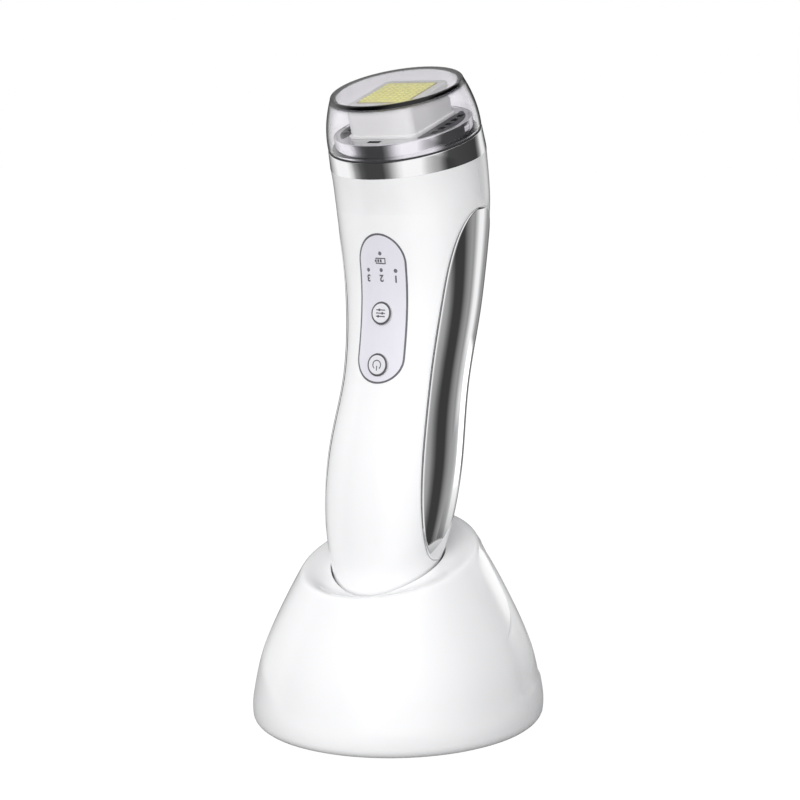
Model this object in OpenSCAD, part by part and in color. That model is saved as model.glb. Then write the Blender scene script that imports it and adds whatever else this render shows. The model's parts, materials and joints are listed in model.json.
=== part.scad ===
// Hand-held facial toning device that leans in its charging stand.
//
// Frames: the stand stands on Z = 0 and its front faces -Y. The handset has its own frame, in which
// Z runs up the handle from below the heel and -Y is the button side; docked() places that frame.
// The head has a frame of its own at the top of the neck; on_head() places it in the handset's frame.
// Angles round the handle and round the stand are counted from the front towards +X.

/* [Stand] */
// Width of the stand at its widest
stand_w = 91.2; // [88:0.2:96]
// Depth of the stand, front to back
stand_d = 98.2; // [94:0.2:104]
// Thickness of the stand's wall
stand_wall = 2.4; // [1.8:0.1:3]
// Rounding of the stand's bottom edge
stand_edge = 3.4; // [2:0.1:4.5]
// Height of the rim's shoulder at the front
rim_front = 45; // [43.5:0.5:46]
// Height of the rim's shoulder at the back
rim_back = 63; // [61.5:0.5:64.5]
// Depth of the hollow in the stand's back
scoop_depth = 4; // [0:0.5:5]
// Height of the ledge below the hollow
scoop_low = 13.6; // [12:0.2:16]
// Height of the hood above the hollow
scoop_high = 57.5; // [55:0.5:58.5]
// Thickness of the base plate
base_t = 2.2; // [1.6:0.1:3]
// How far the feet stand proud of the shell
foot_drop = 0.8; // [0.5:0.1:1.5]
// Diameter of each rubber foot
foot_d = 10; // [8:0.5:12]
// Diameter of the ballast
weight_d = 46; // [40:1:48]
// Height of the ballast
weight_h = 7; // [4:0.5:9]

/* [Docking] */
// Lean of the handle in the stand, degrees
dock_lean = 12; // [11:0.5:13]
// Place of the handset's frame, front to back
dock_y = -13.2; // [-14:0.1:-12.4]
// Place of the handset's frame, height
dock_z = 35.3; // [34.5:0.1:37]
// Gap between the heel and the cup
dock_gap = 0.6; // [0.4:0.1:0.9]
// Thickness of the cup's wall
cup_wall = 2; // [1.5:0.1:2.5]
// Distance between the two charging contacts
contact_pitch = 9; // [8:0.5:10]
// Diameter of each charging pin
pin_d = 1.8; // [1.4:0.1:2.2]
// Travel of each charging pin
pin_travel = 0.7; // [0.4:0.1:1]

/* [Handle] */
// Height of the flat sole under the heel
sole_z = 3; // [2.5:0.25:4]
// Length over which the heel rounds off
heel_len = 54.2; // [53.4:0.2:56.4]
// Height of the belly, the lower wide part
belly_z = 50; // [48:0.5:51]
// Width of the belly
belly_w = 44.2; // [43:0.2:46]
// Depth of the belly
belly_d = 37.2; // [36:0.2:39]
// Height of the waist, the narrowest part
waist_z = 77; // [75:0.5:80]
// Width of the waist
waist_w = 41.6; // [41:0.2:43.6]
// Depth of the waist
waist_d = 35; // [34.6:0.2:36.6]
// Height of the section beside the upper button
grip_z = 104; // [102:0.5:106]
// Width there
grip_w = 45.6; // [44:0.2:47]
// Depth there
grip_d = 37.8; // [37:0.2:39.4]
// Height of the shoulder, where the neck begins
shoulder_z = 130; // [128:0.5:132]
// Width of the shoulder
shoulder_w = 49.8; // [48.4:0.2:51.4]
// Depth of the shoulder
shoulder_d = 44.4; // [43:0.2:46]
// Height of the neck's end
neck_z = 144.5; // [143.6:0.1:145.4]
// Diameter of the neck's end
neck_d = 49.2; // [48.8:0.2:49.8]
// How far the neck's end lies in front of the handle's axis
neck_reach = 11.5; // [11:0.1:12]
// Slope of the neck's end, degrees
neck_lean = 27; // [26:0.5:28]
// Thickness of the casing's wall
wall = 2.2; // [2:0.1:2.5]
// Gap between parts that are clipped or glued together
seam = 0.1; // [0.06:0.01:0.15]

/* [Hand electrodes] */
// Height of the lower tip of each side electrode
strip_low = 20.4; // [19:0.2:22]
// Height of the upper tip
strip_high = 130.6; // [129:0.2:131]
// How far each electrode wraps ahead of and behind the side, degrees
strip_wrap = 41; // [36:0.5:43]
// Thickness of the electrode
strip_t = 1.1; // [0.9:0.05:1.3]
// How far it stands proud of the casing
strip_proud = 0.15; // [0:0.05:0.3]

/* [Control panel] */
// Height of the panel's middle
panel_z = 95.6; // [94.6:0.2:96.6]
// Distance of the panel's plane in front of the handle's axis
panel_y = 17.3; // [17.1:0.1:17.5]
// Lean of the panel's plane, degrees
panel_lean = 5; // [4:0.5:6]
// Length of the panel
panel_l = 45.8; // [44.6:0.2:47]
// Width of the panel
panel_w = 17; // [16:0.2:18]
// Thickness of the panel
panel_t = 0.85; // [0.7:0.05:1]
// Diameter of each button
button_d = 7.2; // [6.6:0.1:7.8]
// Travel of each button
button_travel = 0.5; // [0.3:0.05:0.6]
// Height of the upper button above the panel's middle
mode_at = -1; // [-2:0.2:0]
// Height of the lower button above the panel's middle
power_at = -17; // [-18:0.2:-16]
// Height of the charging light above the panel's middle
charge_light_at = 17; // [16.2:0.2:17.6]
// Height of the three level lights above the panel's middle
level_light_at = 12.1; // [11.3:0.2:12.7]
// Distance between the level lights
level_pitch = 4.9; // [4:0.1:5.3]
// Diameter of each light
light_d = 1.2; // [0.9:0.1:1.5]

/* [Head] */
// Lean of the head against the handle, degrees
head_lean = 30.5; // [29.5:0.5:31.5]
// How far the lower chrome ring stands proud of the neck's end
collar_proud = 0.05; // [0:0.05:0.2]
// How much smaller the lower ring's radius is at its top
collar_taper = 0.35; // [0.2:0.05:0.5]
// Height of the lower chrome ring
collar_h = 6.5; // [6.1:0.1:6.9]
// Thickness of the seal between the rings
seal_t = 0.5; // [0.4:0.05:0.6]
// How much smaller the upper ring's radius is than the lower ring's top
face_step = 2.6; // [2.4:0.05:2.9]
// Height of the upper ring's top above the lower ring's top
face_rise = 4.8; // [4.4:0.1:5.2]
// Thickness of the upper ring's top
face_t = 1.2; // [1:0.1:1.5]
// Width of the treatment block
block_w = 22.8; // [21.4:0.2:23.4]
// Depth of the treatment block
block_d = 26.6; // [25:0.2:27.4]
// Corner rounding of the treatment block
block_r = 2.5; // [2:0.1:3.5]
// Height of the treatment block above the upper ring
block_rise = 8.4; // [8:0.1:9]
// Width of the treatment plate
plate_w = 18.4; // [17:0.2:19.6]
// Depth of the treatment plate
plate_d = 21.2; // [19.4:0.2:22.6]
// Thickness of the treatment plate
plate_t = 1; // [0.8:0.05:1.2]
// Distance between the plate's dots
dot_pitch = 2; // [1.8:0.1:2.4]
// Diameter of each dot
dot_d = 1.1; // [0.9:0.1:1.3]

/* [Cap] */
// Height of the clear cap
cap_h = 16.2; // [15.8:0.1:16.8]
// How much smaller the cap's radius is at its top edge than at its foot
cap_taper = 2.5; // [2:0.1:2.9]
// Thickness of the cap's wall
cap_wall = 1.7; // [1.5:0.05:1.8]

/* [Power] */
// Diameter of the cell
cell_d = 18.4; // [18:0.1:18.6]
// Length of the cell
cell_l = 65; // [64:0.5:66]
// Height of the cell's lower end
cell_z = 30.4; // [30:0.2:31.2]
// Distance of the cell behind the handle's axis
cell_y = 4.2; // [4:0.05:4.4]
// Width of the main board
board_w = 24; // [22:0.5:25]
// Length of the main board
board_l = 62; // [60:0.5:64]
// Thickness of the boards
board_t = 1.6; // [1.2:0.1:1.6]
// Depth of the main board behind the panel's plane
board_deep = 8; // [7.8:0.1:8.2]
// Diameter of the inner leads
lead_d = 1.3; // [1.1:0.1:1.5]

/* [Hidden] */

round_fn = 64;
small_fn = 32;
tiny_fn = 20;

// ---------- curves ----------

same = 0.0001;
function smooth(t) = let (u = min(1, max(0, t))) u * u * (3 - 2 * u);
function lerp(a, b, t) = a + (b - a) * t;

// Interpolating curve through values v at places k, with end slopes s0 and s1.
function knot_slope(k, v, s0, s1, i) =
    i == 0 ? s0 : i == len(k) - 1 ? s1 : (v[i + 1] - v[i - 1]) / (k[i + 1] - k[i - 1]);
function segment(k, x, i = 0) = i >= len(k) - 2 || x < k[i + 1] ? i : segment(k, x, i + 1);
function curve(k, v, s0, s1, x) =
    let (i = segment(k, x), h = k[i + 1] - k[i], s = (x - k[i]) / h,
        m0 = knot_slope(k, v, s0, s1, i), m1 = knot_slope(k, v, s0, s1, i + 1))
    (2 * s ^ 3 - 3 * s ^ 2 + 1) * v[i] + (s ^ 3 - 2 * s ^ 2 + s) * h * m0
        + (3 * s ^ 2 - 2 * s ^ 3) * v[i + 1] + (s ^ 3 - s ^ 2) * h * m1;

// ---------- the handle's form ----------

body_k = [belly_z, waist_z, grip_z, shoulder_z, neck_z];
body_half_w = [belly_w, waist_w, grip_w, shoulder_w, neck_d] / 2;
body_half_d = [belly_d, waist_d, grip_d, shoulder_d, neck_d] / 2;
neck_swell = (neck_d - shoulder_d) / 2 / (neck_z - shoulder_z);

// The handle's axis is straight in the heel, bows back a little at the waist and bends forward at the neck.
spine_start = 28;
belly_bow = 0.4;
waist_bow = 1.7;
grip_bow = 0.6;
shoulder_reach = 5.5;
spine_k = [spine_start, belly_z, waist_z, grip_z, shoulder_z, neck_z];
spine_v = [0, belly_bow, waist_bow, grip_bow, -shoulder_reach, -neck_reach];

function heel_round(z) = sqrt(1 - ((belly_z - z) / heel_len) ^ 2);
function half_w(z) = z < belly_z ? body_half_w[0] * heel_round(z) : curve(body_k, body_half_w, 0, 0, z);
function half_d(z) =
    z < belly_z ? body_half_d[0] * heel_round(z) : curve(body_k, body_half_d, 0, neck_swell, z);
function spine_y(z) = z < spine_start ? 0 : curve(spine_k, spine_v, 0, -tan(neck_lean), z);
spine_step = 0.01;
function spine_lean(z) = z > neck_z - spine_step ? neck_lean
    : atan((spine_y(z - spine_step) - spine_y(z + spine_step)) / (2 * spine_step));

// Point on the handle at height z along its axis and angle t from the front, grown outward by off.
function on_body(z, t, off = 0) =
    let (q = spine_lean(z), y = -(half_d(z) + off) * cos(t))
    [(half_w(z) + off) * sin(t), spine_y(z) + y * cos(q), z + y * sin(q)];

// ---------- the side electrodes' leaf shape ----------

strip_mid = (strip_low + strip_high) / 2;
strip_half = (strip_high - strip_low) / 2;
leaf_fullness = 3.3;
leaf_bluntness = 2.2;
tip_wrap = 7;
function leaf(z) =
    let (u = min(1, abs(z - strip_mid) / strip_half))
    max(tip_wrap, strip_wrap * (1 - u ^ leaf_fullness) ^ (1 / leaf_bluntness));

strip_rows = 20;
strip_z = [for (k = [0 : strip_rows]) strip_mid - strip_half * cos(180 * k / strip_rows)];
heel_rows = 6;
neck_rows = 4;
body_z = concat(
    [for (k = [0 : heel_rows - 1]) lerp(sole_z, strip_low, (k / heel_rows) ^ 1.4)],
    strip_z,
    [for (k = [1 : neck_rows]) lerp(strip_high, neck_z, k / neck_rows)]);
pocket_depth = strip_t - strip_proud + seam;
function pocket(z) = z > strip_low + same && z < strip_high - same ? pocket_depth : 0;

// ---------- closed skins ----------

function flat(grid) = [for (row = grid) each row];
// Two triangles for a four-sided face whose corners run anticlockwise as seen from outside.
function face(a, b, c, d) = [[a, c, b], [a, d, c]];
function whole(t) = t[0] != t[1] && t[1] != t[2] && t[2] != t[0];
function at(grid, i, j) = let (n = len(grid[0]))
    i * n + (j > 0 && norm(grid[i][j] - grid[i][j - 1]) < same ? j - 1 : j);

// Plate between two grids of points, outer[row][column] and inner[row][column].
module skin(outer, inner) {
    r = len(outer) - 1;
    c = len(outer[0]) - 1;
    n = (r + 1) * (c + 1);
    faces = [
        for (i = [0 : r - 1], j = [0 : c - 1])
            each face(at(outer, i, j), at(outer, i, j + 1), at(outer, i + 1, j + 1), at(outer, i + 1, j)),
        for (i = [0 : r - 1], j = [0 : c - 1])
            each face(n + at(inner, i, j), n + at(inner, i + 1, j), n + at(inner, i + 1, j + 1),
                n + at(inner, i, j + 1)),
        for (j = [0 : c - 1])
            each face(at(outer, 0, j + 1), at(outer, 0, j), n + at(inner, 0, j), n + at(inner, 0, j + 1)),
        for (j = [0 : c - 1])
            each face(at(outer, r, j), at(outer, r, j + 1), n + at(inner, r, j + 1), n + at(inner, r, j)),
        for (i = [0 : r - 1])
            each face(at(outer, i, 0), at(outer, i + 1, 0), n + at(inner, i + 1, 0), n + at(inner, i, 0)),
        for (i = [0 : r - 1])
            each face(at(outer, i + 1, c), at(outer, i, c), n + at(inner, i, c), n + at(inner, i + 1, c))];
    polyhedron(concat(flat(outer), flat(inner)), [for (t = faces) if (whole(t)) t]);
}

// Solid ring whose cross-section is a closed loop of points: loops[turn][point].
module ring_skin(loops) {
    turns = len(loops);
    n = len(loops[0]);
    polyhedron(flat(loops), [for (j = [0 : turns - 1], i = [0 : n - 1])
        let (k = (j + 1) % turns, m = (i + 1) % n)
        each face(j * n + i, k * n + i, k * n + m, j * n + m)]);
}

// Round lead along a list of points, as one closed tube.
lead_sides = 8;
function unit(v) = v / norm(v);
function lead_way(path, i) = unit(path[min(i + 1, len(path) - 1)] - path[max(i - 1, 0)]);
function lead_ring(path, i) =
    let (w = lead_way(path, i), e = abs(w[0]) < 0.9 ? [1, 0, 0] : [0, 1, 0],
        u = unit(cross(w, e)), v = cross(w, u))
    [for (s = [0 : lead_sides - 1])
        path[i] + lead_d / 2 * (u * cos(360 * s / lead_sides) + v * sin(360 * s / lead_sides))];
// Rounds a route: each point p[i] becomes a short bend between the legs beside it.
function bend(path, i, t) =
    let (a = lerp(path[i], path[i - 1], 0.35), b = path[i], c = lerp(path[i], path[i + 1], 0.35))
    lerp(lerp(a, b, t), lerp(b, c, t), t);
function route(path) = concat([path[0]],
    [for (i = [1 : len(path) - 2], t = [0 : 1 / 3 : 1]) bend(path, i, t)], [path[len(path) - 1]]);
module lead(points) {
    path = route(points);
    last = len(path) - 1;
    polyhedron(
        concat([for (i = [0 : last]) each lead_ring(path, i)], [path[0], path[last]]),
        [for (i = [0 : last - 1], s = [0 : lead_sides - 1])
            let (a = i * lead_sides + s, b = i * lead_sides + (s + 1) % lead_sides)
            each face(a, b, b + lead_sides, a + lead_sides),
        for (s = [0 : lead_sides - 1])
            [(last + 1) * lead_sides, s, (s + 1) % lead_sides],
        for (s = [0 : lead_sides - 1])
            [(last + 1) * lead_sides + 1, last * lead_sides + (s + 1) % lead_sides, last * lead_sides + s]]);
}

// ---------- placing ----------

module docked() translate([0, dock_y, dock_z]) rotate([-dock_lean, 0, 0]) children();
function dock(p) = [p[0], dock_y + p[1] * cos(dock_lean) + p[2] * sin(dock_lean),
    dock_z + p[2] * cos(dock_lean) - p[1] * sin(dock_lean)];
module on_head() docked() translate([0, -neck_reach, neck_z]) rotate([head_lean, 0, 0]) children();
// On the panel x runs to the right, y up the panel and z out of it.
module on_panel() docked() translate([0, -panel_y, panel_z]) rotate([90 + panel_lean, 0, 0]) children();
module both_sides() for (s = [-1, 1]) scale([s, 1, 1]) children();

// Flat plate with the outline of an ellipse.
module oval(rx, ry, h) linear_extrude(h) scale([rx, ry]) circle(1, $fn = round_fn);
module rounded_plate(w, d, r, h) linear_extrude(h) {
    square([w - 2 * r, d], center = true);
    square([w, d - 2 * r], center = true);
    for (x = [-1, 1], y = [-1, 1]) translate([x * (w / 2 - r), y * (d / 2 - r)]) circle(r, $fn = small_fn);
}
module disc(d, z0, z1, fn = small_fn) translate([0, 0, z0]) cylinder(d = d, h = z1 - z0, $fn = fn);
module block(w, d, z0, z1) translate([-w / 2, -d / 2, z0]) cube([w, d, z1 - z0]);

// ---------- the casing ----------

pocket_cols = 4;
front_cols = 14;
// Angles across one half of the casing at height z, from one seam to the other.
function half_angles(z) =
    let (f = leaf(z), s = 90 - atan(seam / 2 / half_w(z)))
    concat([for (k = [0 : pocket_cols]) lerp(-s, f - 90, k / pocket_cols)],
        [for (k = [0 : front_cols]) lerp(f - 90, 90 - f, k / front_cols)],
        [for (k = [0 : pocket_cols]) lerp(90 - f, s, k / pocket_cols)]);
half_last = 2 * pocket_cols + front_cols + 2;
function in_pocket(j) = j <= pocket_cols || j >= half_last - pocket_cols;
function half_outer(turn) = [for (z = body_z) let (t = half_angles(z))
    [for (j = [0 : half_last]) on_body(z, turn + t[j], in_pocket(j) ? -pocket(z) : 0)]];
function half_inner(turn) = [for (z = body_z) let (t = half_angles(z))
    [for (j = [0 : half_last]) on_body(z, turn + t[j], -wall)]];

// Patch of the front surface between two offsets, larger than the panel.
patch_low = 66;
patch_high = 134;
patch_rows = 13;
patch_cols = 9;
patch_turn = 32;
function patch(off) = [for (i = [0 : patch_rows]) [for (j = [0 : patch_cols])
    on_body(lerp(patch_low, patch_high, i / patch_rows), lerp(-patch_turn, patch_turn, j / patch_cols), off)]];
patch_out = 2;
module panel_outline(grow, z0, z1) on_panel() translate([0, 0, z0])
    rounded_plate(panel_w + 2 * grow, panel_l + 2 * grow, panel_w / 2 + grow - same, z1 - z0);
panel_reach = 14;
panel_seat = panel_t + seam;
button_clear = 0.1;

light_places = concat([[0, charge_light_at]], [for (k = [-1 : 1]) [k * level_pitch, level_light_at]]);
button_places = [mode_at, power_at];
module light_holes(grow) on_panel() for (p = light_places)
    translate(p) disc(light_d + 2 * grow, -panel_reach, panel_reach, tiny_fn);
module button_holes(grow) on_panel() for (y = button_places)
    translate([0, y]) disc(button_d + 2 * grow, -panel_reach / 2, panel_reach, small_fn);

module front_casing() color("white") difference() {
    docked() skin(half_outer(0), half_inner(0));
    intersection() {
        docked() skin(patch(patch_out), patch(-panel_seat));
        panel_outline(seam, -panel_reach, panel_reach);
    }
    button_holes(2 * button_clear);
    light_holes(button_clear);
}

module rear_casing() color("white") docked() skin(half_outer(180), half_inner(180));

strip_cols = 10;
strip_edge = seam / 2;
function strip_grid(side, off) = [for (k = [1 : strip_rows - 1])
    let (z = strip_z[k], f = leaf(z) - atan(strip_edge / half_w(z) * 2))
    [for (j = [0 : strip_cols]) on_body(z, side * (90 + side * lerp(-f, f, j / strip_cols)), off)]];
module hand_electrode(side) color("silver") docked()
    skin(strip_grid(side, strip_proud), strip_grid(side, strip_proud - strip_t));
module left_hand_electrode() hand_electrode(-1);
module right_hand_electrode() hand_electrode(1);

// ---------- the control panel ----------

module control_panel() color([0.86, 0.86, 0.9]) difference() {
    intersection() {
        docked() skin(patch(0), patch(-panel_t));
        panel_outline(0, -panel_reach, panel_reach);
    }
    button_holes(button_clear);
    light_holes(button_clear / 2);
}

module indicator_lenses() color([0.5, 0.5, 0.55]) intersection() {
    docked() skin(patch(0), patch(-panel_t));
    light_holes(0);
}

button_top = 0.6;
button_edge = 0.5;
flange_top = -wall - 1;
flange_t = 0.8;
flange_rim = 0.7;
stem_low = -5.2;
module button() color("white") {
    rotate_extrude($fn = small_fn) polygon(concat(
        [[0, stem_low], [button_d / 4, stem_low], [button_d / 4, flange_top - flange_t],
            [button_d / 2 + flange_rim, flange_top - flange_t], [button_d / 2 + flange_rim, flange_top],
            [button_d / 2, flange_top]],
        [for (a = [0 : 15 : 90]) [button_d / 2 - button_edge + button_edge * cos(a),
            button_top - button_edge + button_edge * sin(a)]],
        [[0, button_top]]));
}
module mode_button() on_panel() translate([0, mode_at]) button();
module power_button() on_panel() translate([0, power_at]) button();

switch_w = 4.5;
switch_h = 1.6;
plunger_d = 2.4;
switch_gap = 0.05;
module tact_switches() color([0.25, 0.25, 0.27]) on_panel() for (y = button_places) translate([0, y]) {
    block(switch_w, switch_w, -board_deep, -board_deep + switch_h);
    disc(plunger_d, -board_deep + switch_h, stem_low - button_travel - switch_gap, tiny_fn);
}

led_h = 0.8;
led_w = 1.6;
module indicator_leds() color("ivory") on_panel() for (p = light_places)
    translate(p) block(led_w, led_w, -board_deep, -board_deep + led_h);

guide_bar_z = -4.6;
guide_bar_t = 1.2;
module light_guide() color([0.85, 0.9, 0.95]) difference() {
    on_panel() {
        for (p = light_places) translate(p)
            disc(light_d, -board_deep + led_h + seam, panel_reach / 2, tiny_fn);
        translate([0, (charge_light_at + level_light_at) / 2, guide_bar_z])
            linear_extrude(guide_bar_t) square([2 * level_pitch + 3, charge_light_at - level_light_at + 3], center = true);
    }
    docked() skin(patch(panel_reach), patch(-panel_seat - seam));
}

board_at = 3;
board_low = board_at - board_l / 2;
board_high = board_at + board_l / 2;
board_back = -board_deep - board_t;
// Point of the panel's frame, in the handset's frame; on_board() takes it at the middle of the board.
function on_panel_point(p) = [p[0], -panel_y - p[1] * sin(panel_lean) - p[2] * cos(panel_lean),
    panel_z + p[1] * cos(panel_lean) - p[2] * sin(panel_lean)];
function on_board(p) = on_panel_point([p[0], p[1], board_back + board_t / 2]);
// Length of a lead's last straight bit, and the thin line of solder that holds it.
lead_land = 4;
solder = 0.02;
module main_board() color("darkgreen") on_panel() translate([0, board_at]) difference() {
    block(board_w, board_l, -board_deep - board_t, -board_deep);
    for (x = [-1, 1], y = [-1, 1]) translate([x * (board_w / 2 - 2.2), y * (board_l / 2 - 2.2)])
        disc(2, -board_deep - board_t - 1, -board_deep + 1, tiny_fn);
}

can_h = 2.2;
module shield_can() color("silver") on_panel() translate([0, board_at + board_l / 2 - 7])
    block(16, 9, -board_deep, -board_deep + can_h);

coil_d = 15;
coil_core = 6;
coil_h = 7;
module rf_transformer() color([0.55, 0.35, 0.15]) on_panel() translate([0, board_at + 16]) {
    difference() {
        disc(coil_d, -board_deep - board_t - coil_h, -board_deep - board_t);
        disc(coil_core, -board_deep - board_t - coil_h - 1, -board_deep - board_t + 1, tiny_fn);
    }
}

// ---------- the cell ----------

module battery() color([0.15, 0.35, 0.75]) docked() translate([0, cell_y, cell_z]) {
    cylinder(d = cell_d, h = cell_l - 1, $fn = round_fn);
    disc(6, cell_l - 1, cell_l);
}
holder_t = 1.2;
holder_back = 0.8;
holder_w = 10;
module battery_holder() color([0.2, 0.2, 0.22]) docked() translate([0, cell_y, cell_z]) {
    for (z = [-holder_t, cell_l]) disc(cell_d + 1, z, z + holder_t, round_fn);
    translate([-holder_w / 2, cell_d / 2, -holder_t]) cube([holder_w, holder_back, cell_l + 2 * holder_t]);
    for (s = [-1, 1]) translate([s * (cell_d / 2 + 0.9) - 0.8, -3, -holder_t])
        cube([1.6, 6, cell_l + 2 * holder_t]);
}

// ---------- the heel ----------

heel_t = 1.9;
contact_d = 4;
contact_sink = pin_travel + 0.1;
contact_t = 0.9;
stem_d = 1.6;
heel_rx = half_w(sole_z) - wall - seam;
heel_ry = half_d(sole_z) - wall - seam;
flange_z = sole_z + heel_t;
module contact_places() for (s = [-1, 1]) translate([s * contact_pitch / 2, 0]) children();
module heel_plate() color([0.93, 0.93, 0.94]) docked() difference() {
    union() {
        translate([0, 0, sole_z]) oval(heel_rx, heel_ry, heel_t);
        translate([0, 0, flange_z]) oval(half_w(flange_z) - wall - seam, half_d(flange_z) - wall - seam, 1.2);
    }
    contact_places() {
        disc(contact_d + 0.1, sole_z - 1, sole_z + contact_sink + contact_t);
        disc(stem_d + 0.1, sole_z, sole_z + 5, tiny_fn);
    }
}
module charge_contacts() color("gold") docked() contact_places() {
    disc(contact_d, sole_z + contact_sink, sole_z + contact_sink + contact_t);
    disc(stem_d, sole_z + contact_sink, sole_z + 4.4, tiny_fn);
}

lead_side = 12.4;
module charge_leads() color("red") docked() for (s = [-1, 1]) lead([
    [s * contact_pitch / 2, 0, sole_z + 4.4], [s * contact_pitch / 2, 0, sole_z + 11],
    [s * (lead_side - 0.6), -3.6, cell_z + 2], [s * lead_side, -3.6, cell_z + 22],
    on_board([s * 8, board_low - lead_land]), on_board([s * 8, board_low - solder])]);

cell_top = cell_z + cell_l + holder_t;
module battery_leads() color("black") docked() for (s = [-1, 1]) let (up = cell_top + 4 - panel_z) lead([
    [s * 2.4, cell_y - 2, cell_top], [s * 2.4, cell_y - 2, cell_top + lead_land],
    on_panel_point([s * 3.5, up, board_back - lead_land]), on_panel_point([s * 3.5, up, board_back - solder])]);

// ---------- the head ----------

seal_top = collar_h + seal_t;
face_top = collar_h + face_rise;
carrier_top = collar_h - 1.3;
wedge = head_lean - neck_lean;
ring_edge = 0.35;
collar_in = neck_d / 2 - wall;
collar_r = neck_d / 2 + collar_proud;
collar_top_r = collar_r - collar_taper;
face_r = collar_top_r - face_step;
face_wall = 1.4;
face_in = face_r - face_wall;

module collar_ring() color("silver") on_head() difference() {
    rotate_extrude($fn = round_fn) polygon([
        [collar_in, -3], [collar_r, -3], [collar_r, 0.3], [lerp(collar_r, collar_top_r, 0.5), collar_h / 2],
        [collar_top_r, collar_h - ring_edge], [collar_top_r - ring_edge, collar_h], [collar_in, collar_h]]);
    rotate([-wedge, 0, 0]) translate([0, 0, -10]) cylinder(r = 40, h = 10, $fn = small_fn);
}

module cap_seal() color([0.12, 0.12, 0.13]) on_head() difference() {
    disc(2 * collar_top_r - 0.5, collar_h, seal_top, round_fn);
    disc(2 * face_r + 0.1, collar_h - 1, seal_top + 1, round_fn);
}

notch_w = 5;
notch_h = 1.6;
slot_w = 4.4;
slot_h = 1.1;
slot_share = 0.55;
module head_ring() color("silver") on_head() difference() {
    rotate_extrude($fn = round_fn) polygon([
        [0, face_top - face_t], [face_in, face_top - face_t], [face_in, carrier_top], [face_r, carrier_top],
        [face_r, face_top - ring_edge], [face_r - ring_edge, face_top], [0, face_top]]);
    translate([0, 0, face_top - face_t - 1])
        rounded_plate(block_w + 0.2, block_d + 0.2, block_r + 0.1, face_t + 2);
    for (k = [0 : 3]) rotate([0, 0, 90 * k])
        translate([0, -lerp((k % 2 == 0 ? block_d : block_w) / 2, face_in, slot_share), face_top - face_t - 1])
            linear_extrude(face_t + 2) square([slot_w, slot_h], center = true);
    for (a = [0, 180]) rotate([0, 0, a]) translate([face_r - 0.6, -notch_w / 2, face_top - 1.1 - notch_h])
        cube([2, notch_w, notch_h]);
}

carrier_r = collar_in - 0.1;
skirt_r = carrier_r - 1.7;
block_wall = 1.6;
carrier_screw_r = (block_w / 2 - block_wall - 0.3) / cos(30);
screw_head_d = 3.8;
screw_head_h = 1.5;
screw_hole_d = 1.6;
lead_hole_d = 7;
module carrier_screws() for (a = [90, 210, 330]) rotate([0, 0, a]) translate([carrier_screw_r, 0]) children();
module head_carrier() color([0.9, 0.9, 0.9]) on_head() difference() {
    union() {
        disc(2 * carrier_r, carrier_top - 3, carrier_top, round_fn);
        difference() {
            disc(2 * skirt_r, -4, carrier_top - 3, round_fn);
            disc(2 * skirt_r - 3, -5, carrier_top - 3, round_fn);
        }
    }
    disc(lead_hole_d, -5, carrier_top + 1);
    carrier_screws() disc(2.3, 0, carrier_top + 1, tiny_fn);
}

block_top = face_top + block_rise;
flange_h = 1.6;
flange_over = 1.5;
module treatment_block() color("white") on_head() difference() {
    union() {
        intersection() {
            translate([0, 0, carrier_top])
                rounded_plate(block_w + 2 * flange_over, block_d + 2 * flange_over, block_r + 1, flange_h);
            disc(2 * (face_in - seam), carrier_top - 1, carrier_top + flange_h + 1, round_fn);
        }
        translate([0, 0, carrier_top]) rounded_plate(block_w, block_d, block_r, block_top - carrier_top - 0.5);
        translate([0, 0, carrier_top]) rounded_plate(block_w - 1, block_d - 1, block_r, block_top - carrier_top);
    }
    translate([0, 0, carrier_top - 1])
        rounded_plate(block_w - 2 * block_wall - 8, block_d - 2 * block_wall - 6, block_r, block_top - carrier_top - 2);
    translate([0, 0, block_top - plate_t])
        rounded_plate(plate_w + 0.1, plate_d + 0.1, 1.5, plate_t + 1);
    disc(lead_hole_d, block_top - 5, block_top - plate_t + 0.5, tiny_fn);
    carrier_screws() disc(screw_hole_d, carrier_top - 1, carrier_top + 4, tiny_fn);
}
module treatment_plate() color("gold") on_head() translate([0, 0, block_top - plate_t])
    rounded_plate(plate_w, plate_d, 1.45, plate_t + 0.1);

dots_x = floor((plate_w - dot_d - 1) / 2 / dot_pitch);
dots_y = floor((plate_d - dot_d - 1) / 2 / dot_pitch);
dot_h = 0.3;
module treatment_dots() color("khaki") on_head() for (x = [-dots_x : dots_x], y = [-dots_y : dots_y])
    translate([x * dot_pitch, y * dot_pitch]) disc(dot_d, block_top + 0.1, block_top + 0.1 + dot_h, tiny_fn);

module head_screws() color("silver") on_head() carrier_screws() {
    disc(screw_head_d, carrier_top - 3 - screw_head_h, carrier_top - 3, tiny_fn);
    disc(screw_hole_d - seam, carrier_top - 3, carrier_top + 3.5, tiny_fn);
}

// Head frame to handset frame.
function head_point(p) = [p[0], -neck_reach + p[1] * cos(head_lean) - p[2] * sin(head_lean),
    neck_z + p[1] * sin(head_lean) + p[2] * cos(head_lean)];
module rf_leads() color("orange") docked() for (s = [-1, 1]) lead([
    on_board([s * 2, board_high + solder]), on_board([s * 2, board_high + lead_land]), head_point([s * 1.4, 0, -6]),
    head_point([s * 1.4, 0, 4]), head_point([s * 1.4, 0, block_top - plate_t])]);

// ---------- the clear cap ----------

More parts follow.
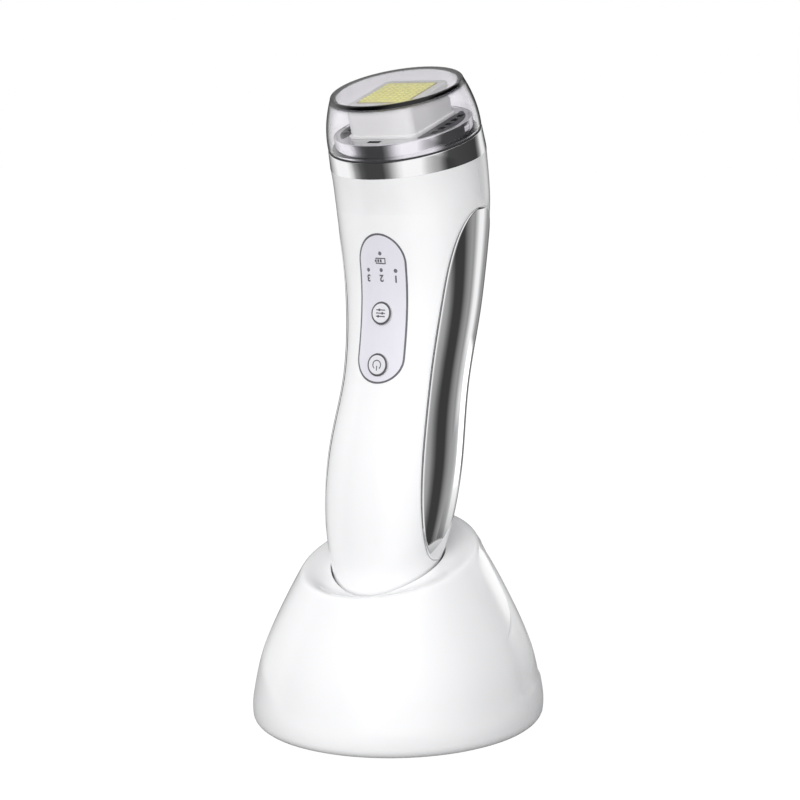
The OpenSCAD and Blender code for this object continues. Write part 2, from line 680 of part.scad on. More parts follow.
cap_foot = seal_top;
cap_top = cap_foot + cap_h;
cap_bulge = 0.5;
cap_foot_r = collar_top_r - 0.1;
cap_top_r = cap_foot_r - cap_taper;
cap_crown = 0.6;
function cap_r(u) = lerp(cap_foot_r, cap_top_r, u) + cap_bulge * 4 * u * (1 - u);
cap_steps = 8;
module clear_cap() color([0.9, 0.9, 0.96, 0.35]) on_head() rotate_extrude($fn = round_fn) polygon(concat(
    [[cap_foot_r - cap_wall, cap_foot], [cap_foot_r, cap_foot]],
    [for (k = [0 : cap_steps]) [cap_r(k / cap_steps), lerp(cap_foot + 0.8, cap_top - 1, k / cap_steps)]],
    [[cap_top_r - 0.3, cap_top - 0.45], [cap_top_r - 0.9, cap_top - 0.1], [cap_top_r / 2, cap_top + cap_crown * 0.75],
        [0, cap_top + cap_crown], [0, cap_top - cap_wall]],
    [for (k = [cap_steps : -1 : 0]) [cap_r(k / cap_steps) - cap_wall,
        lerp(cap_foot + 0.8, cap_top - cap_wall, k / cap_steps)]]));

// ---------- the stand ----------

depth_ratio = stand_d / stand_w;
dome_k = [foot_drop + stand_edge, 10, 24, 40, 55, 70];
dome_share = [1, 0.994, 0.926, 0.774, 0.595, 0.36];
dome_end_slope = -0.95;
function dome_r(z) = curve(dome_k, dome_share * stand_w / 2, 0.1, dome_end_slope, z);

// The hollow in the back: nothing at the sides, deepest in the middle, with a ledge below and a hood above.
scoop_from = 88;
scoop_fall = 28;
scoop_lip = 0.4;
function back(a) = abs(a > 180 ? a - 360 : a);
function scoop_top(a) = scoop_high - scoop_fall * (max(0, 180 - max(back(a), scoop_from)) / (180 - scoop_from)) ^ 4;
function scoop(a, z) =
    let (u = max(0, (back(a) - scoop_from) / (180 - scoop_from)),
        reach = min(scoop_lip, scoop_depth) * smooth(u * 6) + max(0, scoop_depth - scoop_lip) * u ^ 2,
        gate = smooth((z - scoop_low) / 1.2 + 0.5) * smooth((scoop_top(a) - z) / 1.8 + 0.5))
    reach * gate;

function rim_z(a) = lerp(rim_front, rim_back, (1 - cos(a)) / 2);
function dome(a, z, off = 0) = let (r = dome_r(z) - scoop(a, z) + off)
    [r * sin(a), -depth_ratio * r * cos(a), z];

// The mouth of the cup follows the handle's own section, low at the front and high at the back.
mouth_front = 7;
mouth_back = 29;
function mouth_z(a) = lerp(mouth_front, mouth_back, (1 - cos(a)) / 2);
function cup(a, z, off) = let (s = max(z, sole_z), r = dock_gap + off)
    dock([(half_w(s) + r) * sin(a), spine_y(s) - (half_d(s) + r) * cos(a), z]);
cup_floor = sole_z - 3;

// Rim: a soft shoulder, then a dished band down to the mouth.
rim_steps = 6;
shoulder_len = 4;
band_len = 7;
function bezier(p, q, r, s, t) =
    p * (1 - t) ^ 3 + q * 3 * t * (1 - t) ^ 2 + r * 3 * t ^ 2 * (1 - t) + s * t ^ 3;
function rim(a, t) =
    let (p = dome(a, rim_z(a)), q = p + shoulder_len * unit(dome(a, rim_z(a)) - dome(a, rim_z(a) - 1)),
        s = cup(a, mouth_z(a), 0), r = s + band_len * unit([p[0] - s[0], p[1] - s[1], (p[2] - s[2]) / 3]))
    bezier(p, q, r, s, t);

edge_steps = 3;
wall_low = foot_drop + stand_edge;
function dome_rows(a) = let (low = scoop_low - 0.7, top = scoop_top(a))
    concat([for (k = [1 : 2]) lerp(wall_low, low, k / 2)],
        [for (k = [0 : 5]) lerp(scoop_low + 0.7, top - 1, k / 5)],
        [for (k = [0 : 3]) lerp(top + 1, rim_z(a), k / 3)]);
inner_foot_r = stand_w / 2 - stand_edge - 1;
function stand_loop(a) = concat(
    [for (k = [0 : edge_steps]) let (q = 90 * k / edge_steps)
        dome(a, wall_low, -stand_edge * (1 - sin(q))) - [0, 0, stand_edge * cos(q)]],
    [for (z = dome_rows(a)) dome(a, z)],
    [for (k = [1 : rim_steps]) rim(a, k / rim_steps)],
    [for (k = [1 : 3]) cup(a, lerp(mouth_z(a), cup_floor, k / 3), 0)],
    [for (k = [0 : 1]) cup(a, lerp(cup_floor, mouth_z(a) - 4, k), cup_wall)],
    [dome(a, rim_z(a) - 4, -stand_wall)],
    [for (k = [1 : 4]) dome(a, lerp(rim_z(a) - 4, scoop_low + 2, k / 4), -stand_wall)],
    [dome(a, wall_low + 4, -stand_wall),
        [inner_foot_r * sin(a), -depth_ratio * inner_foot_r * cos(a), foot_drop + base_t + 1],
        [inner_foot_r * sin(a), -depth_ratio * inner_foot_r * cos(a), foot_drop]]);
stand_turns = 48;

// Four places on the stand's oval, at radius r and angle a from the front and from the back.
module oval_places(r, a) for (t = [a, 180 - a, 180 + a, 360 - a])
    translate([r * sin(t), -depth_ratio * r * cos(t)]) children();
screw_turn = 60;
boss_d = 8;
boss_bite = 1;
boss_top = 17;
module screw_places() oval_places(inner_foot_r + boss_bite - boss_d / 2, screw_turn) children();
base_top = foot_drop + base_t;
jack_z = base_top + 5.6;
jack_hole_d = 7.4;
jack_collar = 5.6;
jack_face = stand_d / 2 - jack_collar - 1;
module stand_shell() color("white") difference() {
    union() {
        ring_skin([for (j = [0 : stand_turns - 1]) stand_loop(360 * j / stand_turns)]);
        screw_places() disc(boss_d, foot_drop + base_t + seam, boss_top);
    }
    screw_places() disc(2, 0, boss_top - 8, tiny_fn);
    translate([0, jack_face + 1, jack_z]) rotate([-90, 0, 0]) cylinder(d = jack_hole_d, h = 2 * jack_collar, $fn = small_fn);
}

block_rx = half_w(sole_z) + dock_gap;
block_ry = half_d(sole_z) + dock_gap;
barrel_d = 3;
barrel_low = -6;
module contact_block() color([0.9, 0.9, 0.91]) docked() difference() {
    union() {
        translate([0, 0, cup_floor]) oval(block_rx - seam, block_ry - seam, sole_z - cup_floor);
        translate([0, 0, cup_floor - 2]) oval(block_rx + cup_wall, block_ry + cup_wall, 2);
        for (s = [-1, 1]) translate([s * 9, 0]) disc(3.4, cup_floor + barrel_low, cup_floor - 1, tiny_fn);
    }
    contact_places() disc(barrel_d + 0.05, cup_floor - 4, sole_z - 0.8);
    contact_places() disc(pin_d + 0.6, cup_floor - 4, sole_z + 1, tiny_fn);
}
module contact_barrels() color("goldenrod") docked() contact_places() difference() {
    disc(barrel_d, cup_floor + barrel_low, sole_z - 0.8);
    disc(pin_d + 0.08, cup_floor + barrel_low + 1, sole_z, tiny_fn);
}
module contact_pin(side) color("gold") docked() translate([side * contact_pitch / 2, 0])
    rotate_extrude($fn = tiny_fn) polygon([[0, cup_floor - 3.2], [pin_d / 2, cup_floor - 3.2],
        [pin_d / 2, sole_z + contact_sink - 0.5], [pin_d / 3, sole_z + contact_sink - 0.1],
        [0, sole_z + contact_sink - 0.02]]);
module left_contact_pin() contact_pin(-1);
module right_contact_pin() contact_pin(1);

stand_board_w = 26;
stand_board_d = 14;
module stand_board() color("darkgreen") docked()
    translate([0, 0, cup_floor + barrel_low - board_t]) block(stand_board_w, stand_board_d, 0, board_t);

jack_w = 9;
jack_l = 12;
jack_h = 10.4;
jack_back = jack_face - jack_l;
module dc_jack() color([0.1, 0.1, 0.11]) difference() {
    union() {
        translate([-jack_w / 2, jack_back, base_top]) cube([jack_w, jack_l, jack_h]);
        translate([0, jack_face, jack_z]) rotate([-90, 0, 0])
            cylinder(d = jack_hole_d - 0.4, h = jack_collar, $fn = small_fn);
    }
    translate([0, jack_face - 8, jack_z]) rotate([-90, 0, 0]) difference() {
        cylinder(d = 5.6, h = 20, $fn = small_fn);
        cylinder(d = 2, h = 8, $fn = tiny_fn);
    }
}

lead_over = 4;
module stand_leads() color("red") for (s = [-1, 1]) lead([
    [s * 2.5, jack_back - solder, jack_z], [s * 2.5, jack_back - 1.6, jack_z],
    [s * 3, jack_back - 2, base_top + weight_h + lead_over],
    dock([s * 6, 3, cup_floor + barrel_low - board_t - lead_over]),
    dock([s * 6, 3, cup_floor + barrel_low - board_t - solder])]);

weight_bore = 8;
module ballast() color("gray") difference() {
    disc(weight_d, base_top, base_top + weight_h, round_fn);
    disc(weight_bore, base_top - 1, base_top + weight_h + 1);
}

foot_turn = 32;
foot_margin = 0.6;
foot_sink = 1;
base_screw_head_d = 4.2;
base_screw_head_h = 1;
base_screw_d = 1.8;
module foot_places() oval_places(inner_foot_r - foot_margin - foot_d / 2, foot_turn) children();
module base_plate() color("white") difference() {
    translate([0, 0, foot_drop])
        oval(inner_foot_r - seam, (inner_foot_r - seam) * depth_ratio, base_t);
    foot_places() disc(foot_d + 0.2, 0, foot_drop + foot_sink);
    screw_places() {
        disc(2.6, 0, 10, tiny_fn);
        disc(base_screw_head_d + 0.4, 0, foot_drop + 0.2 + base_screw_head_h, tiny_fn);
    }
}
module stand_feet() color([0.2, 0.2, 0.21]) foot_places() disc(foot_d, 0, foot_drop + foot_sink);
module base_screws() color("silver") screw_places() {
    disc(base_screw_head_d, foot_drop + 0.2, foot_drop + 0.2 + base_screw_head_h, tiny_fn);
    disc(base_screw_d, foot_drop + 0.2 + base_screw_head_h, boss_top - 9, tiny_fn);
}

front_casing();
rear_casing();
left_hand_electrode();
right_hand_electrode();
control_panel();
mode_button();
power_button();
indicator_lenses();
light_guide();
main_board();
tact_switches();
indicator_leds();
rf_transformer();
shield_can();
battery();
battery_holder();
battery_leads();
heel_plate();
charge_contacts();
charge_leads();
head_carrier();
collar_ring();
cap_seal();
head_ring();
treatment_block();
treatment_plate();
treatment_dots();
head_screws();
rf_leads();
clear_cap();
stand_shell();
contact_block();
contact_barrels();
left_contact_pin();
right_contact_pin();
stand_board();
dc_jack();
stand_leads();
ballast();
base_plate();
stand_feet();
base_screws();
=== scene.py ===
"""Looks of the hand-held facial toning device in its charging stand.

Lengths are in millimetres while a piece is shaped, and in metres once it is placed.
"""

import json
import math

import bmesh
import bpy
from mathutils import Matrix, Vector

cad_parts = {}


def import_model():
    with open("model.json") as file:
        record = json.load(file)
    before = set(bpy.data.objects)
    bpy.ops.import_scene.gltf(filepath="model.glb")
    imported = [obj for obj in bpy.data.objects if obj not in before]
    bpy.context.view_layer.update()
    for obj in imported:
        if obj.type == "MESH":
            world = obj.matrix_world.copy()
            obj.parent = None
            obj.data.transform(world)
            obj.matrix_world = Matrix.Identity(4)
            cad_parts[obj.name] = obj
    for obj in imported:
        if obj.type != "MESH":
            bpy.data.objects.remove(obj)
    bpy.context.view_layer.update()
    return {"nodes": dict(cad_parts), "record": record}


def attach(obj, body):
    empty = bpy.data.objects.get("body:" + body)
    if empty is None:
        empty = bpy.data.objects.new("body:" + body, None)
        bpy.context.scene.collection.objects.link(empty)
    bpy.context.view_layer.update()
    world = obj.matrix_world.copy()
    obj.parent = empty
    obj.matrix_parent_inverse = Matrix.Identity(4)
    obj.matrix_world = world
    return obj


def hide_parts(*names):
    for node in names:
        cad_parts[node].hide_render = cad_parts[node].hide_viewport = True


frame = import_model()
MM = 0.001

# ---------- sizes ----------

# They are those of the part's source, but for the hollow's edge and the cap's top and side wall.

STAND_W, STAND_D, STAND_WALL, STAND_EDGE, FOOT_DROP = 91.2, 98.2, 2.4, 3.4, 0.8
RIM_FRONT, RIM_BACK = 45, 63
SCOOP_DEPTH, SCOOP_LIP, SCOOP_LOW, SCOOP_FROM = 4, 0.35, 13.6, 86
# The hollow's upper edge: heights at angles from the front.
SCOOP_TURNS = [86, 92, 96.5, 101, 104, 106, 107.2, 108.5, 111, 120, 180]
SCOOP_TOPS = [30, 32.3, 34.2, 36.8, 39.2, 42, 46.5, 52, 56, 57.4, 58.5]
CREASE_PROUD, CREASE_W, CREASE_STEP, CREASE_LOW = 0.1, 3, 0.9, 30
BASE_T = 2.2
DOCK_LEAN, DOCK_Y, DOCK_Z, DOCK_GAP, CUP_WALL = 12, -13.2, 35.3, 0.6, 2
SOLE_Z, HEEL_LEN, BELLY_Z = 3, 54.2, 50
NECK_Z, NECK_D, NECK_REACH, NECK_LEAN = 144.5, 49.2, 11.5, 27
WALL, SEAM = 2.2, 0.1
STRIP_LOW, STRIP_HIGH, STRIP_WRAP, STRIP_T, STRIP_PROUD = 20.4, 130.6, 41, 1.1, 0.15
LEAF_FULLNESS, LEAF_BLUNTNESS, TIP_WRAP = 3.3, 2.2, 2
PANEL_Z, PANEL_Y, PANEL_LEAN, PANEL_L, PANEL_W = 95.6, 17.3, 5, 45.8, 17
BUTTON_D, MODE_AT, POWER_AT = 7.2, -1, -17
CHARGE_LIGHT_AT, LEVEL_LIGHT_AT, LEVEL_PITCH, LIGHT_D = 17, 12.1, 4.9, 1.2
HEAD_LEAN = 30.5
COLLAR_R, COLLAR_TOP_R, COLLAR_H, SEAL_T = 24.65, 24.3, 6.5, 0.5
FACE_R, FACE_RISE, FACE_T = 21.7, 4.8, 1.2
BLOCK_W, BLOCK_D, BLOCK_R, BLOCK_RISE = 22.8, 26.6, 2.5, 8.4
PLATE_W, PLATE_D, PLATE_T = 18.4, 21.2, 1
CAP_H, CAP_TOP_R, CAP_WALL, CAP_SIDE_WALL = 16.2, 20.9, 1.7, 1.2

BODY_K = [50, 77, 104, 130, NECK_Z]
BODY_W = [44.2, 41.6, 45.6, 49.8, NECK_D]
BODY_D = [37.2, 35, 37.8, 44.4, NECK_D]
SPINE_K = [28, 50, 77, 104, 130, NECK_Z]
SPINE_V = [0, 0.4, 1.7, 0.6, -5.5, -NECK_REACH]
DOME_K = [FOOT_DROP + STAND_EDGE, 10, 24, 40, 55, 70]
DOME_SHARE = [1, 0.994, 0.926, 0.774, 0.595, 0.36]
DEPTH_RATIO = STAND_D / STAND_W
MOUTH_FRONT, MOUTH_BACK = 7, 29
SHOULDER_LEN, BAND_LEN = 4, 7
COLLAR_IN = NECK_D / 2 - WALL
SEAL_TOP = COLLAR_H + SEAL_T
FACE_TOP = COLLAR_H + FACE_RISE
CARRIER_TOP = COLLAR_H - 1.3
BLOCK_TOP = FACE_TOP + BLOCK_RISE
CAP_TOP = SEAL_TOP + CAP_H
BASE_TOP = FOOT_DROP + BASE_T


def sin(a):
    return math.sin(math.radians(a))


def cos(a):
    return math.cos(math.radians(a))


def lerp(a, b, t):
    return a + (b - a) * t


def clamp(t):
    return min(1.0, max(0.0, t))


def smooth(t):
    u = clamp(t)
    return u * u * (3 - 2 * u)


def ramp(x, start, length):
    return smooth((x - start) / length)


def spaced(low, high, count, first=0):
    """Evenly spaced values from low to high, from the first one that is wanted."""
    return [lerp(low, high, k / count) for k in range(first, count + 1)]


# ---------- placing ----------


def tipped(angle):
    return Matrix.Rotation(math.radians(angle), 4, "X")


def moved(x, y, z):
    return Matrix.Translation((x, y, z))


DOCKED = moved(0, DOCK_Y, DOCK_Z) @ tipped(-DOCK_LEAN)
ON_HEAD = DOCKED @ moved(0, -NECK_REACH, NECK_Z) @ tipped(HEAD_LEAN)
ON_PANEL = DOCKED @ moved(0, -PANEL_Y, PANEL_Z) @ tipped(90 + PANEL_LEAN)
STANDING = Matrix.Identity(4)

# ---------- curves of the handle and the stand ----------


def curve(places, values, first_slope, last_slope, x):
    """Interpolating curve through values at places, with its two end slopes."""
    last = len(places) - 1
    i = 0
    while i < last - 1 and x >= places[i + 1]:
        i += 1

    def slope(n):
        if n == 0:
            return first_slope
        if n == last:
            return last_slope
        return (values[n + 1] - values[n - 1]) / (places[n + 1] - places[n - 1])

    h = places[i + 1] - places[i]
    s = (x - places[i]) / h
    return (
        (2 * s**3 - 3 * s**2 + 1) * values[i]
        + (s**3 - 2 * s**2 + s) * h * slope(i)
        + (3 * s**2 - 2 * s**3) * values[i + 1]
        + (s**3 - s**2) * h * slope(i + 1)
    )


HALF_W = [w / 2 for w in BODY_W]
HALF_D = [d / 2 for d in BODY_D]
NECK_SWELL = (HALF_D[4] - HALF_D[3]) / (BODY_K[4] - BODY_K[3])


def heel_round(z):
    return math.sqrt(1 - ((BELLY_Z - z) / HEEL_LEN) ** 2)


def half_w(z):
    return HALF_W[0] * heel_round(z) if z < BELLY_Z else curve(BODY_K, HALF_W, 0, 0, z)


def half_d(z):
    return HALF_D[0] * heel_round(z) if z < BELLY_Z else curve(BODY_K, HALF_D, 0, NECK_SWELL, z)


def spine_y(z):
    return 0.0 if z < SPINE_K[0] else curve(SPINE_K, SPINE_V, 0, -math.tan(math.radians(NECK_LEAN)), z)


def spine_lean(z):
    step = 0.01
    if z > NECK_Z - step:
        return NECK_LEAN
    return math.degrees(math.atan((spine_y(z - step) - spine_y(z + step)) / (2 * step)))


def on_body(z, turn, off=0.0):
    """Point of the handle's surface at height z along its axis and an angle from the front."""
    lean = spine_lean(z)
    y = -(half_d(z) + off) * cos(turn)
    return Vector(((half_w(z) + off) * sin(turn), spine_y(z) + y * cos(lean), z + y * sin(lean)))


def on_front(x, up, off=0.0):
    """Point of the handle's front at x and at a height above the panel's middle."""
    wanted = PANEL_Z + up * cos(PANEL_LEAN)
    z = wanted
    for _ in range(6):
        turn = math.degrees(math.asin(x / half_w(z)))
        p = on_body(z, turn, off)
        z += wanted - p.z
    return p


STRIP_MID = (STRIP_LOW + STRIP_HIGH) / 2
STRIP_HALF = (STRIP_HIGH - STRIP_LOW) / 2


def leaf(z):
    """Angle that a side electrode covers to each side of its middle line, at height z."""
    u = min(1.0, abs(z - STRIP_MID) / STRIP_HALF)
    return STRIP_WRAP * (1 - u**LEAF_FULLNESS) ** (1 / LEAF_BLUNTNESS)


def dome_r(z):
    return curve(DOME_K, [s * STAND_W / 2 for s in DOME_SHARE], 0.1, -0.95, z)


def back_turn(a):
    return abs(a - 360 if a > 180 else a)


def scoop_top(a):
    return curve(SCOOP_TURNS, SCOOP_TOPS, 0.4, 0, max(back_turn(a), SCOOP_FROM))


# The steep part of that edge as a line, in millimetres round the stand and up.
TURN_MM = 0.75
CREASE_END = 118
crease_turns = spaced(SCOOP_FROM, CREASE_END, 2 * (CREASE_END - SCOOP_FROM))
crease_line = [Vector((turn * TURN_MM, scoop_top(turn))) for turn in crease_turns]


def crease_gap(a, z):
    """Distance from the hollow's edge: above nought outside the hollow, below nought in it."""
    turn = back_turn(a)
    gap = z - scoop_top(a)
    if turn < CREASE_END:
        at = Vector((turn * TURN_MM, z))
        gap = math.copysign(min((at - p).length for p in crease_line), gap)
    return gap


# Changes of the edge towards the back: the angle at which each starts, and how many degrees it takes.
PROUD_ENDS, STEP_WIDENS, LEDGE_FIRMS = (107, 8), (108, 10), (110, 16)
STEP_WIDENING = 2
LEDGE_SIDE, LEDGE_BACK = 5, 0.7
SCOOP_MARGIN, LOW_FADE, RIM_FADE = 10, 8, 4


def scoop(a, z):
    """Depth of the hollow in the stand's back, less the crease that stands proud at its edge."""
    turn = back_turn(a)
    if turn < SCOOP_FROM - SCOOP_MARGIN:
        return 0.0
    u = max(0.0, (turn - SCOOP_FROM) / (180 - SCOOP_FROM))
    gap = crease_gap(a, z)
    reach = SCOOP_LIP * smooth(u * 8) + (SCOOP_DEPTH - SCOOP_LIP) * u**3
    proud = CREASE_PROUD * ramp(z, CREASE_LOW, LOW_FADE) * smooth((rim_z(a) - z) / RIM_FADE)
    proud *= 1 - ramp(turn, *PROUD_ENDS)
    step = CREASE_STEP * (1 + STEP_WIDENING * ramp(turn, *STEP_WIDENS))
    ledge = lerp(LEDGE_SIDE, LEDGE_BACK, ramp(turn, *LEDGE_FIRMS))
    roll = (1 - clamp(gap / CREASE_W)) ** 2 if gap > 0 else smooth(1 + gap / step)
    return reach * smooth((z - SCOOP_LOW) / ledge + 0.5) * smooth(-gap / step) - proud * roll


def rim_z(a):
    return lerp(RIM_FRONT, RIM_BACK, (1 - cos(a)) / 2)


def mouth_z(a):
    return lerp(MOUTH_FRONT, MOUTH_BACK, (1 - cos(a)) / 2)


def dome(a, z, off=0.0, hollowed=True):
    r = dome_r(z) + off - (scoop(a, z) if hollowed else 0)
    return Vector((r * sin(a), -DEPTH_RATIO * r * cos(a), z))


def cup(a, z, off):
    s = max(z, SOLE_Z)
    r = DOCK_GAP + off
    return DOCKED @ Vector(((half_w(s) + r) * sin(a), spine_y(s) - (half_d(s) + r) * cos(a), z))


CUP_FLOOR = SOLE_Z - 3


def rim(a, t):
    """Soft shoulder of the rim, then the dished band down to the mouth of the cup."""
    p = dome(a, rim_z(a))
    q = p + SHOULDER_LEN * (dome(a, rim_z(a), 0, False) - dome(a, rim_z(a) - 1, 0, False)).normalized()
    s = cup(a, mouth_z(a), 0)
    r = s + BAND_LEN * Vector((p.x - s.x, p.y - s.y, (p.z - s.z) / 3)).normalized()
    return p * (1 - t) ** 3 + q * 3 * t * (1 - t) ** 2 + r * 3 * t**2 * (1 - t) + s * t**3


# ---------- mesh helpers ----------


def grid(bm, rows, columns, point):
    """Adds a grid of rows x columns points, each put where point(row, column) says."""
    made = bmesh.ops.create_grid(bm, x_segments=columns - 1, y_segments=rows - 1, size=1)["verts"]
    for v in made:
        j = round((v.co.x + 1) / 2 * (columns - 1))
        i = round((v.co.y + 1) / 2 * (rows - 1))
        v.co = point(i, j)
    return made


def corner(r, z, radius, angles):
    """Points of a rounded corner in a profile, by their angles up from outwards."""
    return [(r + radius * cos(a), z + radius * sin(a)) for a in angles]


QUARTER = (0, 22, 45, 68, 90)


def lathe(bm, profile, steps=160):
    """Turns a profile of (radius, height) round Z."""
    verts = [bm.verts.new((r, 0, z)) for r, z in profile]
    edges = [bm.edges.new(pair) for pair in zip(verts, verts[1:])]
    bmesh.ops.spin(
        bm, geom=verts + edges, cent=(0, 0, 0), axis=(0, 0, 1), angle=math.tau, steps=steps, use_merge=True
    )
    bmesh.ops.remove_doubles(bm, verts=bm.verts, dist=1e-5)


def rounded_slab(bm, w, d, r, low, high, top_edge, segments=8):
    """Rounded rectangular slab with a softened top edge."""
    bmesh.ops.create_cube(bm, size=1)
    size = Matrix.Diagonal((w, d, high - low, 1))
    bmesh.ops.transform(bm, verts=bm.verts, matrix=moved(0, 0, (low + high) / 2) @ size)
    uprights = [e for e in bm.edges if abs(e.verts[0].co.z - e.verts[1].co.z) > 1e-6]
    bmesh.ops.bevel(bm, geom=uprights, offset=r, segments=segments, profile=0.5, affect="EDGES", material=-1)
    top = [e for e in bm.edges if all(v.co.z > high - 1e-6 for v in e.verts)]
    bmesh.ops.bevel(bm, geom=top, offset=top_edge, segments=4, profile=0.5, affect="EDGES", material=-1)


def close(bm):
    """Joins the two open edges that are left, such as an outer and an inner skin's."""
    bmesh.ops.bridge_loops(bm, edges=[e for e in bm.edges if e.is_boundary])


def mesh_of(bm, name, materials=()):
    mesh = bpy.data.meshes.new(name)
    bm.to_mesh(mesh)
    bm.free()
    for m in materials:
        mesh.materials.append(m)
    return mesh


def linked(name, data):
    obj = bpy.data.objects.new(name, data)
    bpy.context.scene.collection.objects.link(obj)
    return obj


def piece(bm, name, materials, body, place=STANDING, stands_for=(), sharp=35):
    """Makes a finished piece: shaped in its own frame, placed, smoothed, and riding on a body."""
    bmesh.ops.transform(bm, verts=bm.verts, matrix=Matrix.Scale(MM, 4) @ place)
    bmesh.ops.recalc_face_normals(bm, faces=bm.faces)
    for f in bm.faces:
        f.smooth = True
    mesh = mesh_of(bm, name, materials if isinstance(materials, list) else [materials])
    mesh.set_sharp_from_angle(angle=math.radians(sharp))
    obj = linked(name, mesh)
    if stands_for:
        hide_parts(*stands_for)
    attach(obj, body)
    return obj


def cut(obj, shape_cutter, lining=None):
    """Cuts a shape out of a piece, with the walls of the opening in a material of their own."""
    bm = bmesh.new()
    shape_cutter(bm)
    mesh = mesh_of(bm, "cutter", [lining] if lining else [])
    cutter = linked("cutter", mesh)
    work = obj.modifiers.new("cut", "BOOLEAN")
    work.operation, work.solver, work.object = "DIFFERENCE", "EXACT", cutter
    work.material_mode = "TRANSFER"
    bpy.context.view_layer.update()
    depsgraph = bpy.context.evaluated_depsgraph_get()
    result = bpy.data.meshes.new_from_object(obj.evaluated_get(depsgraph))
    obj.modifiers.remove(work)
    old, obj.data = obj.data, result
    bpy.data.meshes.remove(old)
    bpy.data.objects.remove(cutter)
    bpy.data.meshes.remove(mesh)
    obj.data.set_sharp_from_angle(angle=math.radians(30))


# ---------- materials ----------


def new_material(name):
    m = bpy.data.materials.new(name)
    m.use_nodes = True
    return m, m.node_tree.nodes, m.node_tree.links, m.node_tree.nodes["Principled BSDF"]


def attribute(nodes, name):
    n = nodes.new("ShaderNodeAttribute")
    n.attribute_name = name
    return n.outputs["Fac"]


def combine(nodes, links, operation, first, second):
    """Maths on two values, each of them an output or a number."""
    n = nodes.new("ShaderNodeMath")
    n.operation = operation
    for socket, value in ((n.inputs[0], first), (n.inputs[1], second)):
        if isinstance(value, float):
            socket.default_value = value
        else:
            links.new(value, socket)
    return n.outputs["Value"]


def tinted(nodes, links, share, first, second):
    """Colour between two others."""
    n = nodes.new("ShaderNodeMix")
    n.data_type = "RGBA"
    n.inputs["A"].default_value = (*first, 1)
    n.inputs["B"].default_value = (*second, 1)
    links.new(share, n.inputs["Factor"])
    return n.outputs["Result"]


def mixed(nodes, links, share, first, second):
    """Shader between two others."""
    n = nodes.new("ShaderNodeMixShader")
    for socket, value in zip(n.inputs, (share, first, second)):
        links.new(value, socket)
    return n.outputs["Shader"]


BROAD_SCALE, GRAIN_HEIGHT, COAT_ROUGH = 38, 0.0002, 0.04


def moulded(
    name, colour, rough, metal=0.0, grain=900.0, grain_depth=0.02, mottle=0.02, coat=0.0, rough_spread=0.04
):
    """Finish with a fine grain, slightly uneven colour and gloss."""
    m, nodes, links, shader = new_material(name)
    place = nodes.new("ShaderNodeTexCoord")
    fine = nodes.new("ShaderNodeTexNoise")
    fine.inputs["Scale"].default_value = grain
    fine.inputs["Detail"].default_value = 3
    broad = nodes.new("ShaderNodeTexNoise")
    broad.inputs["Scale"].default_value = BROAD_SCALE
    broad.inputs["Detail"].default_value = 2
    for n in (fine, broad):
        links.new(place.outputs["Object"], n.inputs["Vector"])
    darker = [c * (1 - mottle) for c in colour]
    lighter = [min(1, c * (1 + mottle)) for c in colour]
    links.new(tinted(nodes, links, broad.outputs["Fac"], darker, lighter), shader.inputs["Base Color"])
    gloss = nodes.new("ShaderNodeMapRange")
    gloss.inputs["To Min"].default_value = max(0.01, rough - rough_spread)
    gloss.inputs["To Max"].default_value = rough + rough_spread
    links.new(broad.outputs["Fac"], gloss.inputs["Value"])
    links.new(gloss.outputs["Result"], shader.inputs["Roughness"])
    bump = nodes.new("ShaderNodeBump")
    bump.inputs["Strength"].default_value = grain_depth
    bump.inputs["Distance"].default_value = GRAIN_HEIGHT
    links.new(fine.outputs["Fac"], bump.inputs["Height"])
    links.new(bump.outputs["Normal"], shader.inputs["Normal"])
    shader.inputs["Metallic"].default_value = metal
    shader.inputs["Coat Weight"].default_value = coat
    shader.inputs["Coat Roughness"].default_value = COAT_ROUGH
    return m


# How near grazing the painted dark outline of a clear wall starts, and where it is full.
GRAZING_FROM, GRAZING_TO = 0.7, 0.8


def clear(name, colour, rough=0.0, ior=1.49, painted_dark=(0.03, 0.03, 0.035)):
    """See-through plastic, with a painted dark band where the piece's attribute marks one and painted dark
    lines along its wall's outline, both standing in for dark reflections.
    """
    m, nodes, links, shader = new_material(name)
    along = nodes.new("ShaderNodeLayerWeight")
    along.inputs["Blend"].default_value = 0.5
    grazing = nodes.new("ShaderNodeMapRange")
    grazing.interpolation_type = "SMOOTHSTEP"
    grazing.inputs["From Min"].default_value = GRAZING_FROM
    grazing.inputs["From Max"].default_value = GRAZING_TO
    links.new(along.outputs["Facing"], grazing.inputs["Value"])
    outline = combine(nodes, links, "MULTIPLY", grazing.outputs["Result"], attribute(nodes, "wall"))
    darkest = combine(nodes, links, "MAXIMUM", attribute(nodes, "painted_dark"), outline)
    links.new(tinted(nodes, links, darkest, colour, painted_dark), shader.inputs["Base Color"])
    shader.inputs["Roughness"].default_value = rough
    shader.inputs["IOR"].default_value = ior
    shader.inputs["Transmission Weight"].default_value = 1
    return m


GLOSSY_WHITE = moulded(
    "glossy white plastic", (0.88, 0.88, 0.885), 0.2, coat=0.5, grain_depth=0.006, mottle=0.006
)
CHROME = moulded(
    "bright chrome", (0.86, 0.86, 0.87), 0.05, metal=1, grain=300, grain_depth=0.004, mottle=0.01,
    rough_spread=0.02,
)
PEARL = moulded(
    "pearly panel film", (0.74, 0.73, 0.79), 0.3, coat=0.7, grain=2600, grain_depth=0.03, mottle=0.03
)
